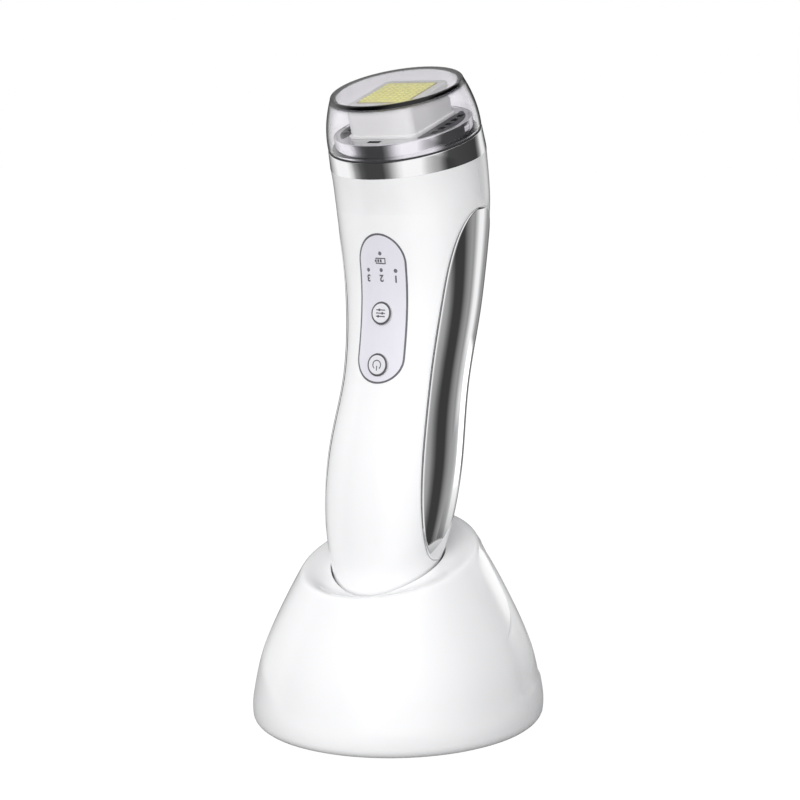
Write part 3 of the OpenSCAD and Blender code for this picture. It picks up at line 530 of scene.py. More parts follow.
# Painted shade: the dark line round the film's edge, where it meets the casing, and in its button openings.
PANEL_EDGE_SHADE = moulded("painted shade at the film's edge", (0.13, 0.13, 0.14), 0.4, coat=0.5)
BUTTON_FACE = moulded("button plastic", (0.74, 0.74, 0.77), 0.25, coat=0.4, grain_depth=0.01)
BUTTON_RIM = moulded("smoked button rim", (0.2, 0.2, 0.21), 0.28, metal=0.6, grain_depth=0.01)
PRINT = moulded("dark print", (0.1, 0.1, 0.11), 0.5)
LENS = moulded("smoked lens", (0.16, 0.15, 0.18), 0.15, coat=0.8, grain_depth=0.0)
BLOCK_PLASTIC = moulded("satin white moulding", (0.77, 0.775, 0.76), 0.5, grain=1500, grain_depth=0.04)
# The plate's border and sides are a darker gold than its face.
PLATE_EDGE = moulded("darker gold plate edge", (0.36, 0.29, 0.13), 0.4, metal=0.4)
DARK_INLAY = moulded("dark satin inlay", (0.06, 0.06, 0.064), 0.5, grain_depth=0.02, mottle=0.1)
PLATE_GOLD = moulded(
    "pale gold plate", (1.0, 0.95, 0.27), 0.35, metal=0.1, grain=2200, grain_depth=0.25, mottle=0.05
)
GOLD = moulded("contact gold", (0.9, 0.72, 0.33), 0.28, metal=1, grain=2200, grain_depth=0.1, mottle=0.04)
RUBBER = moulded("black rubber", (0.035, 0.035, 0.038), 0.6, grain_depth=0.1)
DARK_PLASTIC = moulded("black plastic", (0.04, 0.04, 0.045), 0.4)
PALE_PLASTIC = moulded("ivory plastic", (0.72, 0.71, 0.68), 0.45, grain_depth=0.05)
STEEL = moulded("tinned steel", (0.62, 0.62, 0.63), 0.28, metal=1)
BRASS = moulded("turned brass", (0.75, 0.58, 0.28), 0.3, metal=1)
BOARD = moulded("green lacquered board", (0.05, 0.22, 0.1), 0.35, mottle=0.15)
WINDING = moulded("varnished copper winding", (0.5, 0.24, 0.1), 0.35, metal=0.7, grain=1500, grain_depth=0.3)
SLEEVE = moulded("blue cell sleeve", (0.07, 0.2, 0.5), 0.3)
BLACK_LEAD = moulded("black lead", (0.03, 0.03, 0.03), 0.5)
RED_LEAD = moulded("red lead", (0.55, 0.04, 0.03), 0.5)
ORANGE_LEAD = moulded("orange lead", (0.75, 0.28, 0.05), 0.5)
IRON = moulded("rough cast iron", (0.2, 0.2, 0.21), 0.6, metal=0.7, grain=400, grain_depth=0.5)
CLEAR = clear("clear acrylic", (0.97, 0.955, 0.985))
CLEAR_GUIDE = clear("frosted light guide", (0.95, 0.96, 1.0), rough=0.3)

OF_SLOT = {
    "white_plastic": GLOSSY_WHITE,
    "chrome_metal": CHROME,
    "panel_plastic": PEARL,
    "button_plastic": BUTTON_FACE,
    "lens_plastic": LENS,
    "clear_plastic": CLEAR_GUIDE,
    "board": BOARD,
    "dark_plastic": DARK_PLASTIC,
    "pale_plastic": PALE_PLASTIC,
    "winding": WINDING,
    "tinned_steel": STEEL,
    "cell_sleeve": SLEEVE,
    "lead_black": BLACK_LEAD,
    "lead_red": RED_LEAD,
    "lead_orange": ORANGE_LEAD,
    "gold": GOLD,
    "brass": BRASS,
    "dark_rubber": RUBBER,
    "block_plastic": BLOCK_PLASTIC,
    "iron": IRON,
}
for part in frame["record"]["subparts"]:
    node = frame["nodes"][part["node"]]
    node.data.materials.clear()
    finish = PLATE_GOLD if part["node"] == "treatment_dots" else OF_SLOT[part["material_slot"]]
    node.data.materials.append(finish)

# ---------- the casing ----------

LEAF_GAP = 0.22
LIP, LIP_DROP = 0.5, 0.14
POCKET = STRIP_T - STRIP_PROUD + SEAM
POCKET_COLS, FRONT_COLS = 8, 56
HEEL_ROWS, STRIP_ROWS, NECK_ROWS = 16, 90, 10
FRONT_CROWDING, STRIP_CROWDING = 0.4, 0.55


def leaf_cols(z):
    return max(TIP_WRAP, leaf(z))


def crowded(w, share):
    """Place across from -1 to 1, with the columns closer together at both ends."""
    return (1 - share) * w + share * sin(90 * w)


heel_heights = [lerp(SOLE_Z, STRIP_LOW, (k / HEEL_ROWS) ** 1.4) for k in range(HEEL_ROWS)]
strip_heights = [STRIP_MID - STRIP_HALF * cos(180 * k / STRIP_ROWS) for k in range(STRIP_ROWS + 1)]
heights = heel_heights + strip_heights + spaced(STRIP_HIGH, NECK_Z, NECK_ROWS, 1)


def half_shell_turns(z):
    """Angles across one half of the casing, and how deep each lies, at height z."""
    f = leaf_cols(z)
    gap = math.degrees(LEAF_GAP / half_w(z))
    seam_turn = 90 - math.degrees(SEAM / 2 / half_w(z))
    inside = STRIP_LOW < z < STRIP_HIGH and leaf(z) > TIP_WRAP
    low = -POCKET if inside else 0.0
    edge = 90 - f - gap
    turns = [(lerp(-seam_turn, -edge, k / POCKET_COLS), low) for k in range(POCKET_COLS + 1)]
    for k in range(FRONT_COLS + 1):
        turn = edge * crowded(2 * k / FRONT_COLS - 1, FRONT_CROWDING)
        depth = math.radians(edge - abs(turn)) * half_w(z)
        drop = -LIP_DROP * (1 - clamp(depth / LIP)) ** 2 if inside else 0.0
        turns.append((turn, drop))
    return turns + [(-t, d) for t, d in reversed(turns[: POCKET_COLS + 1])]


def half_shell(name, middle, stands_for):
    rows = [half_shell_turns(z) for z in heights]
    columns = len(rows[0])
    bm = bmesh.new()
    grid(bm, len(heights), columns, lambda i, j: on_body(heights[i], middle + rows[i][j][0], rows[i][j][1]))
    grid(bm, len(heights), columns, lambda i, j: on_body(heights[i], middle + rows[i][j][0], -WALL))
    close(bm)
    return piece(bm, name, GLOSSY_WHITE, "handset", DOCKED, [stands_for], sharp=50)


half_shell("front_shell", 0, "front_casing")
half_shell("back_shell", 180, "rear_casing")

STRIP_COLS = 40
STRIP_LIFT, STRIP_LIP, STRIP_DROP, STRIP_HOLLOW = 0.05, 0.6, 0.4, 0.45


def side_strip(name, side, stands_for):
    """Leaf-shaped plate let into one side of the casing, with rolled edges."""
    rows = strip_heights[1:-1]

    def point(i, j, deep):
        z = rows[i]
        f = leaf(z)
        turn = f * crowded(2 * j / STRIP_COLS - 1, STRIP_CROWDING)
        across = math.radians(f - abs(turn)) * half_w(z)
        along = min(z - STRIP_LOW, STRIP_HIGH - z)
        near = 1 - clamp(min(across, along) / STRIP_LIP)
        hollow = STRIP_HOLLOW * (f / STRIP_WRAP) ** 2 * (1 - (turn / f) ** 2)
        off = STRIP_PROUD + STRIP_LIFT - STRIP_DROP * near**2 - hollow
        return on_body(z, side * (90 + turn), min(off, 0) - STRIP_T + STRIP_HOLLOW if deep else off)

    bm = bmesh.new()
    grid(bm, len(rows), STRIP_COLS + 1, lambda i, j: point(i, j, False))
    grid(bm, len(rows), STRIP_COLS + 1, lambda i, j: point(i, j, True))
    close(bm)
    return piece(bm, name, CHROME, "handset", DOCKED, [stands_for], sharp=50)


side_strip("left_strip", -1, "left_hand_electrode")
side_strip("right_strip", 1, "right_hand_electrode")

# ---------- the control panel ----------

PANEL_LIFT, PANEL_T = 0.1, 0.8
PANEL_STEPS, PANEL_SIDE_CUTS = 72, 27
BORDER = 0.6
PANEL_INSETS = (BORDER, 0.9, 1.4, 1.8, 1.9, 1.7)
BUTTON_GAP, HOLE_DEEP = 0.1, 6


def control_panel():
    bm = bmesh.new()
    r = PANEL_W / 2
    straight = (PANEL_L - PANEL_W) / 2
    bmesh.ops.create_circle(bm, cap_ends=False, segments=PANEL_STEPS, radius=r)
    half_step = Matrix.Rotation(math.pi / PANEL_STEPS, 3, "Z")
    bmesh.ops.rotate(bm, verts=bm.verts, cent=(0, 0, 0), matrix=half_step)
    for v in bm.verts:
        v.co.y += straight if v.co.y > 0 else -straight
    sides = [e for e in bm.edges if abs(e.verts[0].co.y - e.verts[1].co.y) > straight]
    bmesh.ops.subdivide_edges(bm, edges=sides, cuts=PANEL_SIDE_CUTS)
    bmesh.ops.contextual_create(bm, geom=bm.edges)
    face = list(bm.faces)
    for depth in PANEL_INSETS:
        ring = bmesh.ops.inset_region(bm, faces=face, thickness=depth, use_boundary=True)["faces"]
        for f in ring:
            f.material_index = 1 if depth == BORDER else 0
    for f in face:
        f.material_index = 0
    bmesh.ops.triangulate(bm, faces=face)
    top = list(bm.faces)
    out = bmesh.ops.extrude_face_region(bm, geom=top, use_keep_orig=True)["geom"]
    lower = [v for v in out if isinstance(v, bmesh.types.BMVert)]
    for v in lower:
        v.co.z = -PANEL_T
    for v in bm.verts:
        v.co = on_front(v.co.x, v.co.y, PANEL_LIFT + v.co.z)
    # The film's outer ring and the walls of its button openings are painted shade.
    film = [PEARL, PANEL_EDGE_SHADE]
    obj = piece(bm, "panel_film", film, "handset", DOCKED, ["control_panel"], sharp=40)
    cut(obj, button_holes, PANEL_EDGE_SHADE)
    return obj


def button_holes(cutter):
    """Round openings in which the two buttons sink."""
    r = BUTTON_D / 2 + BUTTON_GAP
    for at in (MODE_AT, POWER_AT):
        place = ON_PANEL @ moved(0, at, 0)
        bmesh.ops.create_cone(
            cutter, cap_ends=True, segments=72, radius1=r, radius2=r, depth=HOLE_DEEP, matrix=place
        )
    bmesh.ops.transform(cutter, verts=cutter.verts, matrix=Matrix.Scale(MM, 4))


control_panel()


LENS_FLATNESS = 0.3


def lens_domes():
    bm = bmesh.new()
    for x, up in [(0, CHARGE_LIGHT_AT)] + [(k * LEVEL_PITCH, LEVEL_LIGHT_AT) for k in (-1, 0, 1)]:
        made = bmesh.ops.create_uvsphere(bm, u_segments=24, v_segments=12, radius=LIGHT_D / 2)["verts"]
        for v in made:
            v.co = on_front(x + v.co.x, up + v.co.y, PANEL_LIFT + v.co.z * LENS_FLATNESS)
    return piece(bm, "lens_domes", LENS, "handset", DOCKED, ["indicator_lenses"])


lens_domes()

BUTTON_TOP = 0.6
RIM_W = 0.5
STEM_LOW, FLANGE_LOW, FLANGE_HIGH, FLANGE_W = -5.2, -4, -3.2, 0.7
RIM_LOW, RIM_HIGH, GROOVE_Z, GROOVE_W = 0.1, 0.38, 0.3, 0.1
BUTTON_ROUND, BUTTON_DISH = 0.25, 0.12
BUTTON_FACE_R = BUTTON_D / 2 - RIM_W - GROOVE_W


def button_place(at):
    """Where a button sits: in line with its travel, just clear of the film at its highest point."""
    r = BUTTON_D / 2
    to_panel = ON_PANEL.inverted() @ DOCKED
    highest = max((to_panel @ on_front(r * sin(a), at + r * cos(a), PANEL_LIFT)).z for a in range(0, 360, 30))
    return ON_PANEL @ moved(0, at, max(0, highest - RIM_LOW))


def push_button(name, at, stands_for):
    r = BUTTON_D / 2
    profile = [(0, STEM_LOW), (r / 2, STEM_LOW), (r / 2, FLANGE_LOW), (r + FLANGE_W, FLANGE_LOW)]
    profile += [(r + FLANGE_W, FLANGE_HIGH), (r, FLANGE_HIGH), (r, RIM_LOW)]
    profile += corner(r - BUTTON_ROUND, RIM_LOW, BUTTON_ROUND, (30, 60, 90))
    profile += [(r - RIM_W, RIM_HIGH), (r - RIM_W - GROOVE_W / 2, GROOVE_Z)]
    profile += corner(BUTTON_FACE_R - BUTTON_ROUND, BUTTON_TOP - BUTTON_ROUND, BUTTON_ROUND, (0, 30, 60, 90))
    shares = [k / 6 for k in range(5, -1, -1)]
    profile += [(BUTTON_FACE_R * u, BUTTON_TOP - BUTTON_DISH * (1 - u**2)) for u in shares]
    bm = bmesh.new()
    lathe(bm, profile, 72)
    for f in bm.faces:
        c = f.calc_center_median()
        if math.hypot(c.x, c.y) > BUTTON_FACE_R + 0.01 and c.z > -0.5:
            f.material_index = 1
    finish = [BUTTON_FACE, BUTTON_RIM]
    return piece(bm, name, finish, stands_for, button_place(at), [stands_for])


push_button("mode_cap", MODE_AT, "mode_button")
push_button("power_cap", POWER_AT, "power_button")

PRINT_LIFT, PRINT_T, LINE_W = 0.035, 0.02, 0.32


def flat_ring(bm, r, width, start, end):
    """Arc of a flat ring, counted from +Y."""
    steps = max(8, int((end - start) / 9))
    a = bm.verts.new((0, r - width / 2, 0))
    b = bm.verts.new((0, r + width / 2, 0))
    edge = bm.edges.new((a, b))
    bmesh.ops.rotate(bm, verts=[a, b], cent=(0, 0, 0), matrix=Matrix.Rotation(math.radians(-start), 3, "Z"))
    sweep = math.radians(start - end)
    bmesh.ops.spin(bm, geom=[a, b, edge], cent=(0, 0, 0), axis=(0, 0, 1), angle=sweep, steps=steps)


def bar(bm, x, y, w, h):
    made = bmesh.ops.create_grid(bm, x_segments=2, y_segments=2, size=0.5)["verts"]
    bmesh.ops.transform(bm, verts=made, matrix=moved(x, y, 0) @ Matrix.Diagonal((w, h, 1, 1)))


def digit_mesh(bm, text, height):
    """Adds a figure, centred, as thin flat faces."""
    words = bpy.data.curves.new("figure", "FONT")
    words.body = text
    words.size = height / 0.7
    words.align_x = "CENTER"
    words.resolution_u = 4
    words.offset = 0.09
    obj = linked("figure", words)
    bpy.context.view_layer.update()
    mesh = bpy.data.meshes.new_from_object(obj.evaluated_get(bpy.context.evaluated_depsgraph_get()))
    before = set(bm.verts)
    bm.from_mesh(mesh)
    made = [v for v in bm.verts if v not in before]
    bmesh.ops.translate(bm, verts=made, vec=(0, -height / 2, 0))
    bpy.data.objects.remove(obj)
    bpy.data.curves.remove(words)
    bpy.data.meshes.remove(mesh)
    return made


TURNED = Matrix.Rotation(math.pi, 4, "Z")


def thicken(bm):
    """Gives flat print a thin body below it."""
    out = bmesh.ops.extrude_face_region(bm, geom=list(bm.faces), use_keep_orig=True)["geom"]
    for v in out:
        if isinstance(v, bmesh.types.BMVert):
            v.co.z -= PRINT_T


FIGURE_H, FIGURE_DROP = 2.0, 2.5
BATTERY_W, BATTERY_H, BATTERY_AT = 3.2, 1.5, lerp(CHARGE_LIGHT_AT, LEVEL_LIGHT_AT, 0.45)
# The battery sign's bars, as (x, y, width, height) from its middle: outline, knob and charge.
BATTERY_BARS = [
    (0, BATTERY_H / 2, BATTERY_W, LINE_W),
    (0, -BATTERY_H / 2, BATTERY_W, LINE_W),
    (-BATTERY_W / 2, 0, LINE_W, BATTERY_H + LINE_W),
    (BATTERY_W / 2, 0, LINE_W, BATTERY_H + LINE_W),
    (-BATTERY_W / 2 - 0.3, 0, 0.35, 0.6),
    (-0.8, 0, 0.6, 0.9),
    (0.1, 0, 0.6, 0.9),
]


def print_on_panel():
    """Figures of the three levels and a battery sign, read with the head down."""
    bm = bmesh.new()
    for k, text in ((1, "1"), (0, "2"), (-1, "3")):
        made = digit_mesh(bm, text, FIGURE_H)
        place = moved(k * LEVEL_PITCH, LEVEL_LIGHT_AT - FIGURE_DROP, 0)
        bmesh.ops.transform(bm, verts=made, matrix=place @ TURNED)
    for x, y, w, h in BATTERY_BARS:
        bar(bm, x, BATTERY_AT + y, w, h)
    thicken(bm)
    for v in bm.verts:
        v.co = on_front(v.co.x, v.co.y, PANEL_LIFT + PRINT_LIFT + v.co.z)
    return piece(bm, "panel_print", PRINT, "handset", DOCKED)


def print_on_button(name, at, body, draw):
    bm = bmesh.new()
    draw(bm)
    thicken(bm)
    for v in bm.verts:
        rise = BUTTON_DISH * (math.hypot(v.co.x, v.co.y) / BUTTON_FACE_R) ** 2
        v.co.z += PRINT_LIFT + BUTTON_TOP - BUTTON_DISH + rise
    return piece(bm, name, PRINT, body, button_place(at) @ TURNED)


def mode_sign(bm):
    for y in (-1, 0, 1):
        bar(bm, 0, y, 3.2, LINE_W)
    for x, y in ((0.8, 1), (-0.6, 0), (0.5, -1)):
        bar(bm, x, y, 0.6, 0.75)


def power_sign(bm):
    flat_ring(bm, 1.4, LINE_W, 38, 322)
    bar(bm, 0, 1.05, LINE_W, 1.5)


print_on_panel()
print_on_button("mode_print", MODE_AT, "mode_button", mode_sign)
print_on_button("power_print", POWER_AT, "power_button", power_sign)

# ---------- the head ----------

WEDGE = HEAD_LEAN - NECK_LEAN
COLLAR_LOW, COLLAR_BEND, COLLAR_ROUND = -3, 0.3, 0.35


def collar_ring():
    bm = bmesh.new()
    mid = lerp(COLLAR_R, COLLAR_TOP_R, 0.5)
    profile = [(COLLAR_IN, COLLAR_LOW), (COLLAR_R, COLLAR_LOW), (COLLAR_R, COLLAR_BEND), (mid, COLLAR_H / 2)]
    profile += corner(COLLAR_TOP_R - COLLAR_ROUND, COLLAR_H - COLLAR_ROUND, COLLAR_ROUND, QUARTER)
    profile += [(COLLAR_IN, COLLAR_H), (COLLAR_IN, COLLAR_LOW)]
    lathe(bm, profile)
    tilt = Matrix.Rotation(math.radians(-WEDGE), 3, "X")
    whole = bm.verts[:] + bm.edges[:] + bm.faces[:]
    made = bmesh.ops.bisect_plane(
        bm, geom=whole, plane_co=(0, 0, 0), plane_no=tilt @ Vector((0, 0, 1)), clear_inner=True
    )
    rim_edges = [e for e in made["geom_cut"] if isinstance(e, bmesh.types.BMEdge)]
    bmesh.ops.bridge_loops(bm, edges=rim_edges)
    return piece(bm, "collar_band", CHROME, "handset", ON_HEAD, ["collar_ring"])


SEAL_IN, SEAL_R, SEAL_SWELL = FACE_R + 0.05, COLLAR_TOP_R - 0.3, 0.18


def seal_ring():
    bm = bmesh.new()
    outside = [(SEAL_R, COLLAR_H), (SEAL_R + SEAL_SWELL, COLLAR_H + SEAL_T / 2), (SEAL_R, SEAL_TOP)]
    lathe(bm, [(SEAL_IN, COLLAR_H)] + outside + [(SEAL_IN, SEAL_TOP), (SEAL_IN, COLLAR_H)])
    return piece(bm, "seal_band", RUBBER, "handset", ON_HEAD, ["cap_seal"])


FACE_IN = FACE_R - 1.4
FACE_ROUND, FACE_LIP, FACE_SLOPE, FACE_SUNK = 0.4, 0.9, 0.25, 0.22
SLOT_SHARE, SLOT_W, SLOT_H, SLOT_DEEP = 0.55, 4.4, 2.0, 3.0
VENT_PITCH, VENT_L, VENT_W, VENT_BOW = 4.2, 2.7, 1.9, 0.1
NOTCH_W, NOTCH_H, NOTCH_DEEP, NOTCH_DOWN = 5, 1.6, 1.8, 1.1


def box(bm, centre, size):
    made = bmesh.ops.create_cube(bm, size=1)["verts"]
    bmesh.ops.transform(bm, verts=made, matrix=centre @ Matrix.Diagonal((*size, 1)))


def head_ring():
    bm = bmesh.new()
    inner_low, inner_top = FACE_TOP - FACE_T, FACE_TOP - FACE_SUNK
    profile = [(0, inner_low), (FACE_IN, inner_low), (FACE_IN, CARRIER_TOP), (FACE_R, CARRIER_TOP)]
    profile += corner(FACE_R - FACE_ROUND, FACE_TOP - FACE_ROUND, FACE_ROUND, QUARTER)
    profile += [(FACE_R - FACE_LIP, FACE_TOP), (FACE_R - FACE_LIP - FACE_SLOPE, inner_top)]
    profile += [(FACE_R - 4, inner_top), (0, inner_top)]
    lathe(bm, profile)
    obj = piece(bm, "head_face", CHROME, "handset", ON_HEAD, ["head_ring"], sharp=30)
    # The vents' walls are painted black, as the shade inside the slots.
    cut(obj, vents, DARK_PLASTIC)
    cut(obj, notches)
    return obj


def notches(cutter):
    """The two notches that the cap snaps into."""
    for s in (-1, 1):
        centre = ON_HEAD @ moved(s * FACE_R, 0, FACE_TOP - NOTCH_DOWN - NOTCH_H / 2)
        box(cutter, centre, (NOTCH_DEEP, NOTCH_W, NOTCH_H))
    bmesh.ops.transform(cutter, verts=cutter.verts, matrix=Matrix.Scale(MM, 4))


def vents(cutter):
    """Slot before and behind the block, and a row of vents beside it."""
    r = lerp(BLOCK_D / 2, FACE_IN, SLOT_SHARE)
    side = lerp(BLOCK_W / 2, FACE_IN, SLOT_SHARE)
    for s in (-1, 1):
        box(cutter, moved(0, s * r, FACE_TOP), (SLOT_W, SLOT_H, SLOT_DEEP))
        for k in (-2, -1, 0, 1, 2):
            centre = moved(s * (side - VENT_BOW * k * k), k * VENT_PITCH, FACE_TOP)
            box(cutter, centre, (VENT_W, VENT_L, SLOT_DEEP))
    bmesh.ops.transform(cutter, verts=cutter.verts, matrix=Matrix.Scale(MM, 4) @ ON_HEAD)


INLAY_ROWS, INLAY_COLS = 40, 8
INLAY_CHORD, INLAY_REACH, INLAY_SHORT = BLOCK_W / 2 + 1.7, FACE_IN - 0.7, 0.8
INLAY_TOP, INLAY_LOW = FACE_TOP - 0.16, FACE_TOP - 0.5


def side_inlay(name, side):
    """Dark inlay in the face between the block and the rim, with the vents in it."""
    half = math.sqrt(INLAY_REACH**2 - INLAY_CHORD**2) - INLAY_SHORT

    def point(i, j, z):
        y = half * sin(90 * (2 * i / INLAY_ROWS - 1))
        x = lerp(INLAY_CHORD, math.sqrt(INLAY_REACH**2 - y**2), j / INLAY_COLS)
        return Vector((side * x, y, z))

    bm = bmesh.new()
    grid(bm, INLAY_ROWS + 1, INLAY_COLS + 1, lambda i, j: point(i, j, INLAY_TOP))
    grid(bm, INLAY_ROWS + 1, INLAY_COLS + 1, lambda i, j: point(i, j, INLAY_LOW))
    close(bm)
    # Here too the vents' walls are painted black, as the shade inside them.
    cut(piece(bm, name, DARK_INLAY, "handset", ON_HEAD), vents, DARK_PLASTIC)


BLOCK_EDGE = 0.7
SKIRT_W, SKIRT_LOW, SKIRT_TOP, SKIRT_EDGE = 0.8, FACE_TOP - 0.4, FACE_TOP + 0.5, 0.35
PLATE_R, PLATE_PROUD, PLATE_BEVEL, PLATE_BORDER = 1.45, 0.1, 0.35, 0.3


def treatment_block():
    bm = bmesh.new()
    rounded_slab(bm, BLOCK_W, BLOCK_D, BLOCK_R, CARRIER_TOP, BLOCK_TOP, BLOCK_EDGE)
    piece(bm, "block_body", BLOCK_PLASTIC, "handset", ON_HEAD, ["treatment_block"])
    bm = bmesh.new()
    w, d = BLOCK_W + 2 * SKIRT_W, BLOCK_D + 2 * SKIRT_W
    rounded_slab(bm, w, d, BLOCK_R + SKIRT_W, SKIRT_LOW, SKIRT_TOP, SKIRT_EDGE)
    piece(bm, "block_skirt", BLOCK_PLASTIC, "handset", ON_HEAD)
    bm = bmesh.new()
    plate_top = BLOCK_TOP + PLATE_PROUD
    rounded_slab(bm, PLATE_W, PLATE_D, PLATE_R, BLOCK_TOP - PLATE_T, plate_top, PLATE_BEVEL)
    top = [f for f in bm.faces if f.calc_center_median().z > plate_top - 0.005]
    bmesh.ops.inset_region(bm, faces=top, thickness=PLATE_BORDER, use_boundary=True)
    for f in bm.faces:
        f.material_index = 0 if f in top else 1
    piece(bm, "plate_face", [PLATE_GOLD, PLATE_EDGE], "handset", ON_HEAD, ["treatment_plate"])


CAP_FOOT_R = COLLAR_TOP_R - 0.1
CAP_BULGE, CAP_CROWN, CAP_STEPS = 0.85, 0.3, 24
TOP_EDGE, INNER_EDGE, FOOT_EDGE, FOOT_ROUND = 0.9, 0.8, 0.3, 0.2
# Painted dark band round the top's edge, standing in for its dark reflections: width, height, softness and
# fade; then how the painted dark outline fades up the wall.
PAINTED_BAND_W, PAINTED_BAND_H, PAINTED_BAND_SOFT, PAINTED_BAND_FADE, WALL_FADE = 0.75, 2.3, 0.6, 0.5, 1.5


def cap_r(u):
    return lerp(CAP_FOOT_R, CAP_TOP_R, u) + CAP_BULGE * 4 * u * (1 - u)


def clear_cap():
    bm = bmesh.new()
    shares = spaced(0, 1, CAP_STEPS)
    foot = SEAL_TOP + FOOT_EDGE
    inner_r, inner_top = CAP_TOP_R - CAP_SIDE_WALL, CAP_TOP - CAP_WALL
    profile = [(CAP_FOOT_R - CAP_SIDE_WALL + FOOT_ROUND, SEAL_TOP), (CAP_FOOT_R - FOOT_ROUND, SEAL_TOP)]
    profile += [(cap_r(u), lerp(foot, CAP_TOP - TOP_EDGE, u)) for u in shares]
    profile += corner(CAP_TOP_R - TOP_EDGE, CAP_TOP - TOP_EDGE, TOP_EDGE, (15, 30, 45, 60, 75, 90))
    profile += [(lerp(CAP_TOP_R - TOP_EDGE, 0, u), CAP_TOP + CAP_CROWN * sin(90 * u)) for u in shares[1:]]
    profile += [(lerp(0, inner_r - INNER_EDGE, u), inner_top + CAP_CROWN * cos(90 * u)) for u in shares]
    profile += corner(inner_r - INNER_EDGE, inner_top - INNER_EDGE, INNER_EDGE, (68, 45, 22, 0))
    profile += [(cap_r(u) - CAP_SIDE_WALL, lerp(foot, inner_top - INNER_EDGE, u)) for u in shares[-2::-1]]
    profile.append(profile[0])
    lathe(bm, profile)
    # Where the painted dark band lies, and where the outer wall may show its painted dark outline.
    painted_dark = bm.verts.layers.float.new("painted_dark")
    wall = bm.verts.layers.float.new("wall")
    for v in bm.verts:
        r = math.hypot(v.co.x, v.co.y)
        u = clamp((v.co.z - SEAL_TOP) / (CAP_TOP - TOP_EDGE - SEAL_TOP))
        outer = r > cap_r(u) - CAP_SIDE_WALL / 2
        v[wall] = smooth((inner_top - v.co.z) / WALL_FADE) if outer else 0.0
        edge = ramp(r, CAP_TOP_R - PAINTED_BAND_W - PAINTED_BAND_SOFT / 2, PAINTED_BAND_SOFT)
        v[painted_dark] = edge * ramp(v.co.z, CAP_TOP - PAINTED_BAND_H, PAINTED_BAND_FADE)
    return piece(bm, "cap_shell", CLEAR, "cap", ON_HEAD, ["clear_cap"], sharp=60)


collar_ring()
seal_ring()
head_ring()
side_inlay("left_inlay", -1)
side_inlay("right_inlay", 1)
treatment_block()
clear_cap().visible_shadow = False

# ---------- the stand ----------

# The columns are close together where the hollow's edge is steep.
half_turns = spaced(0, 82, 41) + spaced(84, 116, 64) + spaced(118, 178, 30)
stand_turns = half_turns + [(360 - t) % 360 for t in reversed(half_turns[:-1])]
WALL_LOW = FOOT_DROP + STAND_EDGE
INNER_FOOT_R = STAND_W / 2 - STAND_EDGE - 1
INNER_TOP_DROP, INNER_LOW = 4, FOOT_DROP + BASE_T + 1
INLET_R, INLET_L, INLET_IN, INLET_UP = 3.7, 14, 3, 5.6


def stand_profile(a):
    """Closed outline of the shell at angle a: edge, dome, rim, cup, and back down inside."""
    points = [
        dome(a, WALL_LOW, -STAND_EDGE * (1 - sin(q))) - Vector((0, 0, STAND_EDGE * cos(q)))
        for q in (0, 15, 30, 45, 60, 75, 90)
    ]
    top = scoop_top(a)
    zs = spaced(WALL_LOW, SCOOP_LOW - 0.9, 6, 1)
    zs += spaced(SCOOP_LOW - 0.6, SCOOP_LOW + 0.6, 5)
    zs += spaced(SCOOP_LOW + 0.9, top - 1.2, 14)
    zs += spaced(top - 0.9, top + 0.9, 6)
    zs += spaced(top + 1.2, rim_z(a), 12)
    points += [dome(a, z) for z in zs]
    points += [rim(a, t) for t in spaced(0, 1, 28, 1)]
    points += [cup(a, z, 0) for z in spaced(mouth_z(a), CUP_FLOOR, 10, 1)]
    points += [cup(a, z, CUP_WALL) for z in spaced(CUP_FLOOR, mouth_z(a) - INNER_TOP_DROP, 4)]
    points += [dome(a, z, -STAND_WALL) for z in spaced(rim_z(a) - INNER_TOP_DROP, SCOOP_LOW + 2, 10)]
    points.append(dome(a, WALL_LOW + 4, -STAND_WALL))
    x, y = INNER_FOOT_R * sin(a), -DEPTH_RATIO * INNER_FOOT_R * cos(a)
    points += [Vector((x, y, INNER_LOW)), Vector((x, y, FOOT_DROP))]
    return points + [points[0]]


def stand_shell():
    outlines = [stand_profile(a) for a in stand_turns]
    bm = bmesh.new()
    grid(bm, len(outlines[0]), len(outlines), lambda i, j: outlines[j][i])
    bmesh.ops.remove_doubles(bm, verts=bm.verts, dist=1e-4)
    obj = piece(bm, "stand_body", GLOSSY_WHITE, "stand", STANDING, ["stand_shell"], sharp=55)

    def inlet(cutter):
        r = INLET_R * MM
        place = moved(0, (STAND_D / 2 - INLET_IN) * MM, (BASE_TOP + INLET_UP) * MM) @ tipped(90)
        bmesh.ops.create_cone(
            cutter, cap_ends=True, segments=48, radius1=r, radius2=r, depth=INLET_L * MM, matrix=place
        )

    cut(obj, inlet)
    return obj


stand_shell()

# ---------- camera, light and floor ----------

CAMERA_TURN, CAMERA_PITCH, CAMERA_YAW = 31.5, 7.86, -0.03
CAMERA_AWAY, CAMERA_HEIGHT = 0.620, 0.1887
SENSOR, FOCAL_PIXELS, FRAME_PIXELS = 36, 1983, 800


def bearing(turn, rise):
    """Direction at an angle from the front towards +X, and so far up."""
    return Vector((sin(turn) * cos(rise), -cos(turn) * cos(rise), sin(rise)))


